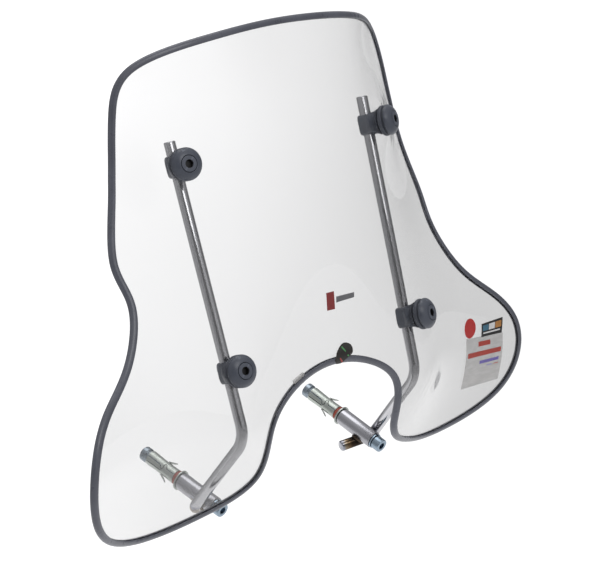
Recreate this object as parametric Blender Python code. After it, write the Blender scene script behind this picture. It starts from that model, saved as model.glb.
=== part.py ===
"""Clear scooter windshield on two bent rods with expander mounts.

World axes: X across the screen, the front faces -Y, +Z up.  The origin is midway between the two
handlebar faces of the mounts.  Shapes are laid out in a leaning frame in mm: x across, y back,
z up along the rods.
"""
import math
import bmesh
import bpy
import numpy as np
from mathutils import Matrix, Vector
from mathutils.geometry import delaunay_2d_cdt

MM = 0.001
LEAN = math.radians(17.0)          # rods lean back from the vertical
MOVE_Y = -45.6                     # layout origin seen from the midpoint of the mounts
MOVE_Z = 241.9

# ---- clear sheet and its edge trim (mm) ----
SHEET_T = 3.0
GAP = 0.3
EDGE_IN = 0.7                      # sheet edge sits this far past the trim centre line
LIP_RUN = 7.5                      # first ring of the sheet inside the trim lips
RELIEF = (117.0, 8.0, -189.0)      # the sheet stands clear of the rod bend here
TRIM_A = 4.5                       # trim half width in the plane of the sheet
TRIM_LIP = 1.6                     # how far each lip reaches over the sheet from the edge line
TRIM_B = 3.2                       # trim half thickness across the sheet
SLOT_HALF = 1.75
SLOT_FLOOR = 1.1
RIM_STEPS = 108
GRID = 22.0
# outline poles of the closed smooth edge curve: half width, set back, height
EDGE = (
    (0, -21, 150), (91, -29, 144), (160, 19, 137), (173, 26, 101),
    (182, 37, 28), (203, 39, -27), (188, 27, -56), (217, 25, -112),
    (259, 22, -138), (286, 17, -177), (277, 47, -235), (200, 90, -257),
    (135, 64, -248), (79, 34, -232), (99, 4, -176), (0, 9, -135),
)

# ---- rods (mm) ----
ROD_R = 5.0
ROD_BACK = 17.4                    # rod axis behind the layout plane
ROD_X0 = 122.2                     # half spacing of the rods at layout height zero
SPLAY = 0.0342                     # half spacing grows this much per mm of height
ROD_TOP = 70.0
BEND1_Z = -189.3
BEND1_R = 26.0
BEND2_R = 13.0
ROD_SLIP = {-1: -2.4, 1: 2.4}      # each rod sits a little high or low in its clamps

# ---- clamps (mm): height, distance from rod axis to sheet middle, turn of the axis ----
CLAMPS = (("u", 46.3, 19.7), ("l", -132.6, 12.4))
STACK = 15.0
HOLE_R = 6.6
SHAFT_R = 4.0
HEAD_R = 6.9
HEAD_TOP = 15.0
FLANGE_R = 14.0

# ---- expander mounts (mm) ----
AXIS_H = (107.9, 70.2, -250.3)     # centre of the bolt head face
MOUNT_PITCH = 36.2
PITCH_TRIM = {-1: -1.5, 1: 1.5}
TOE = 0.8
STUB_AT = 26.5                     # where the rod's end stub crosses the sleeve
STUB_DROP = 10.3                   # stub axis to sleeve axis
STUB_ROLL = 18.0                   # the stub meets the sleeve this far round to the outside
STUB_TILT = 15.0                   # and leans this far along the sleeve
STUB_LEN = 33.0
HEEL_X = 121.5                     # corner of the lower leg and the end stub
SLEEVE_R = 8.0
ANCHOR_R = 6.65
BOLT_R = 4.0
BOLT_HEAD_R = 6.5
WELD_STEPS = 20
WELD_R = 2.3
WELD_GAP = 0.12


def clear_scene():
    for ob in list(bpy.data.objects):
        bpy.data.objects.remove(ob, do_unlink=True)


def to_world(p):
    """Layout millimetres to world metres."""
    x, y, z = float(p[0]), float(p[1]), float(p[2])
    c, s = math.cos(LEAN), math.sin(LEAN)
    return Vector((x, y * c + z * s + MOVE_Y, -y * s + z * c + MOVE_Z)) * MM


def dir_world(d):
    c, s = math.cos(LEAN), math.sin(LEAN)
    return Vector((d[0], d[1] * c + d[2] * s, -d[1] * s + d[2] * c)).normalized()


def frame_world(origin, axis, up):
    """World matrix with local Z on the axis and local Y near the given up direction."""
    z = dir_world(axis)
    y = dir_world(up)
    x = y.cross(z).normalized()
    y = z.cross(x)
    m = Matrix((x, y, z)).transposed().to_4x4()
    m.translation = to_world(origin)
    return m


MATS = {
    "pmma": ((0.82, 0.84, 0.84, 0.35), 0.05, 0.0),
    "trim": ((0.085, 0.092, 0.115, 1.0), 0.5, 0.0),
    "plastic": ((0.10, 0.11, 0.135, 1.0), 0.45, 0.0),
    "rubber": ((0.05, 0.055, 0.07, 1.0), 0.65, 0.0),
    "steel": ((0.55, 0.55, 0.57, 1.0), 0.25, 1.0),
    "zinc": ((0.60, 0.61, 0.58, 1.0), 0.35, 1.0),
    "bolt": ((0.50, 0.54, 0.60, 1.0), 0.35, 1.0),
    "black_steel": ((0.03, 0.03, 0.035, 1.0), 0.4, 1.0),
    "tint": ((0.16, 0.11, 0.07, 1.0), 0.45, 1.0),
    "fibre": ((0.35, 0.07, 0.04, 1.0), 0.6, 0.0),
    "film": ((0.62, 0.60, 0.60, 0.6), 0.4, 0.0),
    "red": ((0.55, 0.03, 0.03, 1.0), 0.5, 0.0),
    "tag": ((0.02, 0.02, 0.02, 1.0), 0.5, 0.0),
}


def material(name, kind):
    rgba, rough, metal = MATS[kind]
    m = bpy.data.materials.new("mat_" + name)
    m.use_nodes = True
    b = m.node_tree.nodes["Principled BSDF"]
    b.inputs["Base Color"].default_value = rgba
    b.inputs["Roughness"].default_value = rough
    b.inputs["Metallic"].default_value = metal
    b.inputs["Alpha"].default_value = rgba[3]
    m.diffuse_color = rgba
    return m


def add_object(name, verts, faces, kind, matrix=None, parent=None, smooth=True):
    me = bpy.data.meshes.new(name)
    me.from_pydata([tuple(v) for v in verts], [], faces)
    bm = bmesh.new()
    bm.from_mesh(me)
    bmesh.ops.recalc_face_normals(bm, faces=bm.faces)
    for f in bm.faces:
        f.smooth = smooth
    for e in bm.edges:
        e.smooth = len(e.link_faces) == 2 and e.calc_face_angle(0.0) < math.radians(40)
    bm.to_mesh(me)
    bm.free()
    ob = bpy.data.objects.new(name, me)
    bpy.context.scene.collection.objects.link(ob)
    if kind:
        me.materials.append(material(name, kind))
    if matrix is not None:
        ob.matrix_world = matrix
    if parent is not None:
        bpy.context.view_layer.update()
        ob.parent = parent
        ob.matrix_parent_inverse = parent.matrix_world.inverted()
    return ob


def empty(name, matrix, parent=None):
    ob = bpy.data.objects.new(name, None)
    ob.empty_display_size = 0.02
    bpy.context.scene.collection.objects.link(ob)
    ob.matrix_world = matrix
    bpy.context.view_layer.update()
    if parent is not None:
        ob.parent = parent
        ob.matrix_parent_inverse = parent.matrix_world.inverted()
    return ob


def lathe(profile, steps):
    """Turn a closed (r, s) loop about the local Z axis; r = 0 points become poles."""
    verts, rings, faces = [], [], []
    for r, s in profile:
        if r < 1e-6:
            rings.append([len(verts)])
            verts.append((0.0, 0.0, s * MM))
        else:
            rings.append(list(range(len(verts), len(verts) + steps)))
            for k in range(steps):
                a = 2 * math.pi * (k + 0.5) / steps
                verts.append((r * MM * math.cos(a), r * MM * math.sin(a), s * MM))
    n = len(rings)
    open_loop = len(rings[0]) == 1 and len(rings[-1]) == 1
    for i in range(n - 1 if open_loop else n):
        a, b = rings[i], rings[(i + 1) % n]
        for k in range(steps):
            k2 = (k + 1) % steps
            if len(a) == 1 and len(b) == 1:
                continue
            if len(a) == 1:
                faces.append((a[0], b[k], b[k2]))
            elif len(b) == 1:
                faces.append((a[k], a[k2], b[0]))
            else:
                faces.append((a[k], a[k2], b[k2], b[k]))
    return verts, faces


def ring_loop(r_in, r_out, s0, s1, ch=0.0):
    """Closed profile of a plain ring with optional outer chamfers."""
    if ch <= 0.0:
        return [(r_in, s0), (r_out, s0), (r_out, s1), (r_in, s1)]
    return [(r_in, s0), (r_out - ch, s0), (r_out, s0 + ch), (r_out, s1 - ch),
            (r_out - ch, s1), (r_in, s1)]


def boolean(ob, cutter, op="DIFFERENCE"):
    cutter.hide_render = True
    cutter.display_type = "WIRE"
    m = ob.modifiers.new("cut_" + cutter.name, "BOOLEAN")
    m.operation = op
    m.solver = "EXACT"
    m.object = cutter


def cutter_lathe(name, profile, steps, matrix, parent):
    v, f = lathe(profile, steps)
    return add_object(name, v, f, None, matrix, parent)


def box_mesh(sx, sy, sz, centre=(0, 0, 0)):
    verts = []
    for k in (-1, 1):
        for j in (-1, 1):
            for i in (-1, 1):
                verts.append(((centre[0] + i * sx / 2) * MM, (centre[1] + j * sy / 2) * MM,
                              (centre[2] + k * sz / 2) * MM))
    faces = [(0, 1, 3, 2), (4, 6, 7, 5), (0, 4, 5, 1), (2, 3, 7, 6), (0, 2, 6, 4), (1, 5, 7, 3)]
    return verts, faces


# ---------------------------------------------------------------- sheet surface
def edge_curve(steps):
    """Closed smooth curve through the mirrored outline poles."""
    half = [np.array(p, float) for p in EDGE]
    left = [p * np.array([-1, 1, 1]) for p in half]
    ring = np.array([left[0]] + left[1:-1] + [left[-1]] + half[1:-1][::-1])
    n = len(ring)
    out = []
    for k in range(steps):
        t = k / steps * n
        i = int(math.floor(t))
        f = t - i
        w = ((1 - f) ** 3, 3 * f ** 3 - 6 * f ** 2 + 4, -3 * f ** 3 + 3 * f ** 2 + 3 * f + 1, f ** 3)
        out.append(sum(w[j] * ring[(i - 1 + j) % n] for j in range(4)) / 6)
    return np.array(out)


def clamp_axis(side, z, turn):
    """Rod point and axis direction (towards the front) of a clamp."""
    x = ROD_X0 + SPLAY * z
    a = math.radians(turn)
    rod = np.array([side * x, ROD_BACK, z])
    axis = np.array([side * math.sin(a), -math.cos(a), -SPLAY * math.sin(a)])
    return rod, axis / np.linalg.norm(axis)


def kernel(d2):
    return 0.5 * d2 * np.log(np.maximum(d2, 1e-9))


def seat_disc(seat, axis, radius, count):
    """Flat ring of points square to the axis, with the seat itself."""
    ex = np.cross([0, 0, 1.0], axis)
    ex /= np.linalg.norm(ex)
    ey = np.cross(axis, ex)
    out = [seat]
    for k in range(count):
        a = 2 * math.pi * k / count
        out.append(seat + radius * (math.cos(a) * ex + math.sin(a) * ey))
    return out


class Sheet:
    """Thin plate surface y = f(x, z) through the edge curve and the clamp seats."""

    def __init__(self):
        pts = [p for p in edge_curve(72)]
        for side in (-1, 1):
            for _, z, turn in CLAMPS:
                rod, axis = clamp_axis(side, z, turn)
                pts += seat_disc(rod + axis * STACK, axis, 15.0, 6)
            pts.append(np.array([side * RELIEF[0], RELIEF[1], RELIEF[2]]))
        pts = np.array(pts)
        self.c = pts[:, [0, 2]] / 100.0
        d2 = ((self.c[:, None] - self.c[None]) ** 2).sum(-1)
        n = len(pts)
        a = np.zeros((n + 3, n + 3))
        soft = np.full(n, 0.0005)
        soft[72:] = 0.0
        a[:n, :n] = kernel(d2) + np.diag(soft)
        a[:n, n] = 1
        a[:n, n + 1:] = self.c
        a[n:, :n] = a[:n, n:].T
        self.w = np.linalg.solve(a, np.concatenate([pts[:, 1], np.zeros(3)]))

    def y(self, x, z):
        q = np.stack([np.asarray(x, float), np.asarray(z, float)], -1) / 100.0
        q = q.reshape(-1, 2)
        d2 = ((q[:, None] - self.c[None]) ** 2).sum(-1)
        n = len(self.c)
        return kernel(d2) @ self.w[:n] + self.w[n] + q @ self.w[n + 1:]

    def point(self, x, z):
        x, z = np.asarray(x, float).ravel(), np.asarray(z, float).ravel()
        return np.stack([x, self.y(x, z), z], -1)

    def normal(self, x, z):
        """Unit normal towards the front."""
        e = 0.5
        x, z = np.asarray(x, float).ravel(), np.asarray(z, float).ravel()
        gx = (self.y(x + e, z) - self.y(x - e, z)) / (2 * e)
        gz = (self.y(x, z + e) - self.y(x, z - e)) / (2 * e)
        n = np.stack([gx, -np.ones(len(x)), gz], -1)
        return n / np.linalg.norm(n, axis=1, keepdims=True)

    def slide_to(self, p, axis, off):
        """Move points along the axis onto the surface offset towards the front by off."""
        p = np.array(p, float)
        for _ in range(8):
            s = self.point(p[:, 0], p[:, 2])
            n = self.normal(p[:, 0], p[:, 2])
            d = ((p - s) * n).sum(1) - off
            p = p - axis[None] * (d / (n @ axis))[:, None]
        return p


SHEET = Sheet()


def edge_frames(steps):
    c = edge_curve(steps)
    c[:, 1] = SHEET.y(c[:, 0], c[:, 2])
    t = np.roll(c, -1, 0) - np.roll(c, 1, 0)
    t /= np.linalg.norm(t, axis=1, keepdims=True)
    n = SHEET.normal(c[:, 0], c[:, 2])
    out = np.cross(n, t)
    out /= np.linalg.norm(out, axis=1, keepdims=True)
    mid = c.mean(0)
    if ((c - mid) * out).sum() < 0:
        out = -out
    n = np.cross(t, out)
    sign = np.sign((n * SHEET.normal(c[:, 0], c[:, 2])).sum(1))
    return c, out, n * sign[:, None]


def inside(poly, p):
    """Even-odd test of points in a closed polygon."""
    x, z = p[:, 0], p[:, 1]
    hit = np.zeros(len(p), bool)
    a = poly
    b = np.roll(poly, -1, 0)
    for (x0, z0), (x1, z1) in zip(a, b):
        cond = (z0 > z) != (z1 > z)
        xi = (x1 - x0) * (z - z0) / (z1 - z0 + 1e-12) + x0
        hit ^= cond & (x < xi)
    return hit


def layout_to_world(p):
    return [to_world(q) for q in p]


def build_screen(parent):
    c, out, _ = edge_frames(RIM_STEPS)
    rim = c + out * EDGE_IN
    ring = c - out * LIP_RUN
    ring[:, 1] = SHEET.y(ring[:, 0], ring[:, 2])
    loops = []
    for side in (-1, 1):
        for _, z, turn in CLAMPS:
            rod, axis = clamp_axis(side, z, turn)
            ex = np.cross([0, 0, 1.0], axis)
            ex /= np.linalg.norm(ex)
            ey = np.cross(axis, ex)
            for r, n in ((HOLE_R, 16), (17.0, 16)):
                a = (np.arange(n) + (0.5 if r > 10 else 0.0)) * 2 * math.pi / n
                q = rod + axis * STACK + r * (np.cos(a)[:, None] * ex + np.sin(a)[:, None] * ey)
                loops.append((q, axis, r))
    pts2 = [ring[:, [0, 2]]]
    kinds = [("s", None)] * len(ring)
    edges = [(i, (i + 1) % len(ring)) for i in range(len(ring))]
    for q, axis, r in loops:
        mid = SHEET.slide_to(q, axis, 0.0)
        base = sum(len(a) for a in pts2)
        pts2.append(mid[:, [0, 2]])
        kinds += [("h", (q, axis, k)) if r < 10 else ("s", None) for k in range(len(q))]
        edges += [(base + i, base + (i + 1) % len(q)) for i in range(len(q))]
    nring = sum(len(a) for a in pts2)
    gx = np.arange(-288, 289, GRID)
    gz = np.arange(-252, 156, GRID * 0.866)
    grid = np.array([(x + (GRID / 2 if k % 2 else 0), z) for k, z in enumerate(gz) for x in gx])
    keep = inside(ring[:, [0, 2]], grid)
    near = ((grid[:, None] - ring[None][:, :, [0, 2]]) ** 2).sum(-1).min(1) > 15.0 ** 2
    keep &= near
    for q, axis, r in loops:
        if r > 10:
            keep &= ((grid - q.mean(0)[[0, 2]]) ** 2).sum(1) > 32.0 ** 2
    grid = grid[keep]
    pts2.append(grid)
    kinds += [("s", None)] * len(grid)
    all2 = np.vstack(pts2)
    res = delaunay_2d_cdt([Vector(p) for p in all2], edges, [], 0, 1e-6)
    v2, tris, orig = res[0], res[2], res[3]
    holes = [SHEET.slide_to(q, axis, 0.0)[:, [0, 2]] for q, axis, r in loops if r < 10]
    index = [o[0] for o in orig]
    xz = all2[index]
    tri = np.array([list(t) for t in tris])
    mid = xz[tri].mean(1)
    ok = inside(ring[:, [0, 2]], mid)
    for h in holes:
        ok &= ~inside(h, mid)
    tri = tri[ok]
    n = SHEET.normal(xz[:, 0], xz[:, 1])
    s = SHEET.point(xz[:, 0], xz[:, 1])
    front = s + n * SHEET_T / 2
    back = s - n * SHEET_T / 2
    hole_rows = {}
    for row, i in enumerate(index):
        kind, data = kinds[i]
        if kind == "h":
            q, axis, k = data
            front[row] = SHEET.slide_to(q[k:k + 1], axis, SHEET_T / 2)[0]
            back[row] = SHEET.slide_to(q[k:k + 1], axis, -SHEET_T / 2)[0]
            hole_rows.setdefault(id(q), {})[k] = row
    m = len(xz)
    verts = list(front) + list(back)
    faces = [tuple(t) for t in tri] + [(t[0] + m, t[2] + m, t[1] + m) for t in tri]
    nr = SHEET.normal(rim[:, 0], rim[:, 2])
    f0 = len(verts)
    verts += list(rim + nr * SHEET_T / 2)
    b0 = len(verts)
    verts += list(rim - nr * SHEET_T / 2)
    row_of = {i: row for row, i in enumerate(index)}
    count = len(ring)
    for k in range(count):
        k2 = (k + 1) % count
        a, b = row_of[k], row_of[k2]
        faces.append((a, b, f0 + k2, f0 + k))
        faces.append((a + m, b0 + k, b0 + k2, b + m))
        faces.append((f0 + k, f0 + k2, b0 + k2, b0 + k))
    for rows in hole_rows.values():
        ks = sorted(rows)
        for i, k in enumerate(ks):
            a, b = rows[k], rows[ks[(i + 1) % len(ks)]]
            faces.append((a, b, b + m, a + m))
    w = layout_to_world(verts)
    inv = parent.matrix_world.inverted()
    used = sorted({i for f in faces for i in f})
    remap = {i: k for k, i in enumerate(used)}
    verts = [inv @ w[i] for i in used]
    faces = [tuple(remap[i] for i in f) for f in faces]
    return add_object("screen", verts, faces, "pmma", parent.matrix_world.copy(), parent)


def trim_section():
    """Half-open U section: (along the plane, across the sheet), closed loop."""
    pts = []
    for a in (205, 255, 300, 340, 20, 60, 105, 155):
        t = math.radians(a)
        pts.append((TRIM_A * math.cos(t), TRIM_B * math.sin(t)))
    pts[0] = (-TRIM_LIP, -TRIM_B + 0.6)
    pts[-1] = (-TRIM_LIP, TRIM_B - 0.6)
    pts += [(-TRIM_LIP, SLOT_HALF), (SLOT_FLOOR, SLOT_HALF), (SLOT_FLOOR, -SLOT_HALF), (-TRIM_LIP, -SLOT_HALF)]
    return pts


def build_trim(parent):
    c, out, n = edge_frames(RIM_STEPS)
    sec = trim_section()
    verts, faces = [], []
    m = len(sec)
    for k in range(RIM_STEPS):
        for a, b in sec:
            verts.append(c[k] + out[k] * a + n[k] * b)
    for k in range(RIM_STEPS):
        k2 = (k + 1) % RIM_STEPS
        for j in range(m):
            j2 = (j + 1) % m
            faces.append((k * m + j, k * m + j2, k2 * m + j2, k2 * m + j))
    inv = parent.matrix_world.inverted()
    verts = [inv @ v for v in layout_to_world(verts)]
    return add_object("edge_trim", verts, faces, "trim", parent.matrix_world.copy(), parent)


# ---------------------------------------------------------------- rods
def fillet_path(points, radii, steps):
    """Straight runs joined by arcs."""
    pts = [np.array(p, float) for p in points]
    out = [pts[0]]
    for i in range(1, len(pts) - 1):
        a = pts[i - 1] - pts[i]
        b = pts[i + 1] - pts[i]
        a /= np.linalg.norm(a)
        b /= np.linalg.norm(b)
        ang = math.acos(float(np.clip(a @ b, -1, 1)))
        r = radii[i - 1]
        cut = r / math.tan(ang / 2)
        centre = pts[i] + (a + b) / np.linalg.norm(a + b) * (r / math.sin(ang / 2))
        u = pts[i] + a * cut - centre
        w = pts[i] + b * cut - centre
        u /= np.linalg.norm(u)
        w /= np.linalg.norm(w)
        total = math.acos(float(np.clip(u @ w, -1, 1)))
        for k in range(steps + 1):
            t = k / steps
            v = (math.sin((1 - t) * total) * u + math.sin(t * total) * w) / math.sin(total)
            out.append(centre + v * r)
    out.append(pts[-1])
    return out


def sweep(path, radius, sides, chamfer=0.5):
    """Round bar along a path with small end chamfers and flat closed ends."""
    p = [np.array(q, float) for q in path]
    d0 = p[1] - p[0]
    d0 /= np.linalg.norm(d0)
    d1 = p[-1] - p[-2]
    d1 /= np.linalg.norm(d1)
    p = [p[0], p[0] + d0 * chamfer] + p[1:-1] + [p[-1] - d1 * chamfer, p[-1]]
    rad = [radius - chamfer] + [radius] * (len(p) - 2) + [radius - chamfer]
    tang = []
    for i in range(len(p)):
        a = p[max(i - 1, 0)]
        b = p[min(i + 1, len(p) - 1)]
        t = b - a
        tang.append(t / np.linalg.norm(t))
    tang[0] = tang[1] = d0
    tang[-1] = tang[-2] = d1
    up = np.array([0.0, 1.0, 0.0])
    verts, faces = [], []
    for i in range(len(p)):
        t = tang[i]
        u = up - t * (up @ t)
        u /= np.linalg.norm(u)
        w = np.cross(t, u)
        up = u
        for k in range(sides):
            a = 2 * math.pi * k / sides
            verts.append(p[i] + rad[i] * (math.cos(a) * u + math.sin(a) * w))
    for i in range(len(p) - 1):
        for k in range(sides):
            k2 = (k + 1) % sides
            faces.append((i * sides + k, i * sides + k2, (i + 1) * sides + k2, (i + 1) * sides + k))
    faces.append(tuple(range(sides)))
    last = (len(p) - 1) * sides
    faces.append(tuple(last + k for k in reversed(range(sides))))
    return verts, faces


def mount_axis(side):
    pitch = math.radians(MOUNT_PITCH + PITCH_TRIM[side])
    toe = math.radians(TOE)
    d = np.array([side * math.sin(toe), math.cos(toe) * math.cos(pitch), math.cos(toe) * math.sin(pitch)])
    drop = np.array([0.0, math.sin(pitch), -math.cos(pitch)])
    slip = ROD_SLIP[side]
    head = np.array([side * (AXIS_H[0] + SPLAY * slip), AXIS_H[1], AXIS_H[2] + slip])
    return head, d, drop


def stub_axis(side):
    """Point under the sleeve, direction inboard, and the direction away from the sleeve."""
    head, d, drop = mount_axis(side)
    out = np.array([float(side), 0.0, 0.0])
    out -= d * (out @ d)
    out /= np.linalg.norm(out)
    r = math.radians(STUB_ROLL)
    t = math.radians(STUB_TILT)
    away = drop * math.cos(r) + out * math.sin(r)
    inward = drop * math.sin(r) - out * math.cos(r)
    u = inward * math.cos(t) + d * math.sin(t)
    return head + d * STUB_AT + away * STUB_DROP, u, away


def rod_points(side):
    slip = ROD_SLIP[side]
    cross, u, _ = stub_axis(side)
    heel = cross + u * (side * HEEL_X - cross[0]) / u[0]
    end = heel + u * STUB_LEN
    top = (side * (ROD_X0 + SPLAY * (ROD_TOP + slip)), ROD_BACK, ROD_TOP + slip)
    low = (side * (ROD_X0 + SPLAY * (BEND1_Z + slip)), ROD_BACK, BEND1_Z + slip)
    return [top, low, heel, end]


def build_rod(side, tag, parent):
    path = fillet_path(rod_points(side), (BEND1_R, BEND2_R), 6)
    verts, faces = sweep(path, ROD_R, 16)
    inv = parent.matrix_world.inverted()
    verts = [inv @ v for v in layout_to_world(verts)]
    ob = add_object("rod_" + tag, verts, faces, "steel", parent.matrix_world.copy(), parent)
    head, d, _ = mount_axis(side)
    r = SLEEVE_R + GAP
    v, f = lathe([(0.0, -5.0), (r, -5.0), (r, 75.0), (0.0, 75.0)], 24)
    boolean(ob, add_object("cut_saddle_" + tag, v, f, None, frame_world(head, d, (0, 0, 1)), parent))
    return ob


# ---------------------------------------------------------------- clamps
def conform(ob, mat, axis, off, limit):
    """Drop the end-face vertices of a ring onto the sheet face."""
    inv = mat.inverted()
    back = to_layout(mat)
    for v in ob.data.vertices:
        if limit(v.co.z / MM):
            p = back @ v.co
            q = SHEET.slide_to(np.array([[p.x, p.y, p.z]]), axis, off)[0]
            v.co = inv @ to_world(q)


def to_layout(mat):
    """Matrix from local metres to layout millimetres."""
    c, s = math.cos(LEAN), math.sin(LEAN)
    r = Matrix(((1, 0, 0, 0), (0, c, -s, 0), (0, s, c, 0), (0, 0, 0, 1)))
    lift = Matrix.Translation(Vector((0, -MOVE_Y, -MOVE_Z)))
    return r @ lift @ Matrix.Scale(1 / MM, 4) @ mat


def superellipse(hx, hy, power, n):
    out = []
    for k in range(n):
        a = 2 * math.pi * k / n
        ca, sa = math.cos(a), math.sin(a)
        out.append((hx * math.copysign(abs(ca) ** (2 / power), ca),
                    hy * math.copysign(abs(sa) ** (2 / power), sa)))
    return out


def loft(sections, n):
    """Closed loft through (s, half x, half y, power) sections."""
    verts, faces = [], []
    for s, hx, hy, power in sections:
        verts += [(x * MM, y * MM, s * MM) for x, y in superellipse(hx, hy, power, n)]
    for i in range(len(sections) - 1):
        for k in range(n):
            k2 = (k + 1) % n
            faces.append((i * n + k, i * n + k2, (i + 1) * n + k2, (i + 1) * n + k))
    faces.append(tuple(reversed(range(n))))
    last = (len(sections) - 1) * n
    faces.append(tuple(last + k for k in range(n)))
    return verts, faces


def hex_prism(af, s0, s1):
    r = af / math.sqrt(3)
    verts = []
    for s in (s0, s1):
        for k in range(6):
            a = math.pi / 3 * k
            verts.append((r * math.cos(a) * MM, r * math.sin(a) * MM, s * MM))
    faces = [tuple(reversed(range(6))), tuple(range(6, 12))]
    faces += [(k, (k + 1) % 6, (k + 1) % 6 + 6, k + 6) for k in range(6)]
    return verts, faces


def build_clamp(side, row, z, turn, root):
    tag = ("l" if side < 0 else "r") + row
    rod, axis = clamp_axis(side, z, turn)
    seat = rod + axis * STACK
    along = np.array([side * SPLAY, 0.0, 1.0])
    mat = frame_world(seat, axis, along)
    hub = empty("clamp_" + tag + "_pivot", mat, root)
    turner = empty("screw_" + tag + "_pivot", mat, hub)
    # rubber flange in front of the sheet, with the dark groove under the cap
    front = [(4.5, 1.8), (FLANGE_R - 0.5, 1.8), (FLANGE_R, 3.0), (FLANGE_R, 5.4),
             (12.4, 6.1), (12.2, 7.2), (4.5, 7.2)]
    v, f = lathe(front, 24)
    ob = add_object("front_washer_" + tag, v, f, "rubber", mat, hub)
    conform(ob, mat, axis, SHEET_T / 2 + GAP, lambda s: s < 2.0)
    rear = [(4.5, -3.8), (11.2, -3.8), (12.0, -3.2), (12.0, -1.8), (4.5, -1.8)]
    v, f = lathe(rear, 20)
    ob = add_object("rear_washer_" + tag, v, f, "rubber", mat, hub)
    conform(ob, mat, axis, -SHEET_T / 2 - GAP, lambda s: s > -2.0)
    v, f = lathe(ring_loop(4.5, 5.6, -1.0, 1.0), 16)
    add_object("bush_" + tag, v, f, "rubber", mat, hub)
    v, f = lathe(ring_loop(4.5, 11.0, -5.1, -4.1), 20)
    add_object("plate_washer_" + tag, v, f, "zinc", mat, hub)
    dome = [(4.4, 7.5), (13.4, 7.5), (14.2, 8.6), (13.7, 10.4), (12.3, 12.3),
            (10.0, 13.9), (7.4, 14.6), (7.2, 10.6), (4.4, 10.6)]
    v, f = lathe(dome, 24)
    add_object("dome_cap_" + tag, v, f, "plastic", mat, hub)
    screw = [(0.0, HEAD_TOP), (HEAD_R - 0.5, HEAD_TOP), (HEAD_R, HEAD_TOP - 0.5), (HEAD_R, 10.9),
             (SHAFT_R, 10.9), (SHAFT_R, -9.1), (SHAFT_R - 0.6, -9.7), (0.0, -9.7)]
    v, f = lathe(screw, 18)
    ob = add_object("cap_screw_" + tag, v, f, "black_steel", mat, turner)
    v, f = hex_prism(6.0, 11.8, 16.0)
    boolean(ob, add_object("cut_hex_" + tag, v, f, None, mat, turner))
    nut_v, nut_f = hex_prism(13.0, -8.9, -5.8)
    ob = add_object("nut_" + tag, nut_v, nut_f, "zinc", mat, hub, False)
    bore = [(0.0, -20.0), (4.25, -20.0), (4.25, 0.0), (0.0, 0.0)]
    boolean(ob, cutter_lathe("cut_nut_" + tag, bore, 16, mat, hub))
    body = ((-5.4, 9.8, 9.8, 2.0), (-5.9, 10.3, 10.3, 2.0), (-8.6, 10.0, 10.2, 2.0),
            (-11.0, 8.0, 9.8, 3.0), (-13.5, 6.9, 9.7, 4.5), (-19.3, 6.7, 9.6, 5.0),
            (-20.9, 6.0, 9.0, 4.5), (-21.4, 4.6, 7.8, 4.0))
    v, f = loft(tuple(reversed(body)), 20)
    ob = add_object("clamp_block_" + tag, v, f, "plastic", mat, hub)
    v, f = hex_prism(13.5, -9.2, 0.0)
    boolean(ob, add_object("cut_pocket_" + tag, v, f, None, mat, hub))
    v, f = lathe([(0.0, -13.0), (4.3, -13.0), (4.3, 0.0), (0.0, 0.0)], 16)
    boolean(ob, add_object("cut_shaft_" + tag, v, f, None, mat, hub))
    rod_mat = frame_world(rod, along, axis)
    v, f = lathe([(0.0, -40.0), (ROD_R + GAP, -40.0), (ROD_R + GAP, 40.0), (0.0, 40.0)], 20)
    boolean(ob, add_object("cut_rod_" + tag, v, f, None, rod_mat, hub))
    return hub


# ---------------------------------------------------------------- expander mounts
def seam_cutter(s0, s1):
    """Thin S-shaped slot in the anchor wall, cut along one side."""
    line = [(0.0, s0), (0.0, s0 + 9.5), (-1.6, s0 + 10.6), (-2.2, s0 + 12.6), (-0.6, s0 + 13.8),
            (1.0, s0 + 12.9), (2.3, s0 + 14.2), (1.8, s0 + 16.2), (0.0, s0 + 17.2), (0.0, s1)]
    w = 0.32
    left, right = [], []
    for i, (a, s) in enumerate(line):
        p = line[max(i - 1, 0)]
        q = line[min(i + 1, len(line) - 1)]
        dx, ds = q[0] - p[0], q[1] - p[1]
        n = math.hypot(dx, ds)
        left.append((a - ds / n * w, s + dx / n * w))
        right.append((a + ds / n * w, s - dx / n * w))
    loop = left + right[::-1]
    m = len(loop)
    verts = [(x * MM, 3.0 * MM, s * MM) for x, s in loop] + [(x * MM, 9.0 * MM, s * MM) for x, s in loop]
    faces = []
    for k in range(m):
        k2 = (k + 1) % m
        faces.append((k, k2, k2 + m, k + m))
    half = m // 2
    for base in (0, m):
        for i in range(half - 1):
            faces.append((base + i, base + i + 1, base + m - 2 - i, base + m - 1 - i))
    return verts, faces


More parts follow.
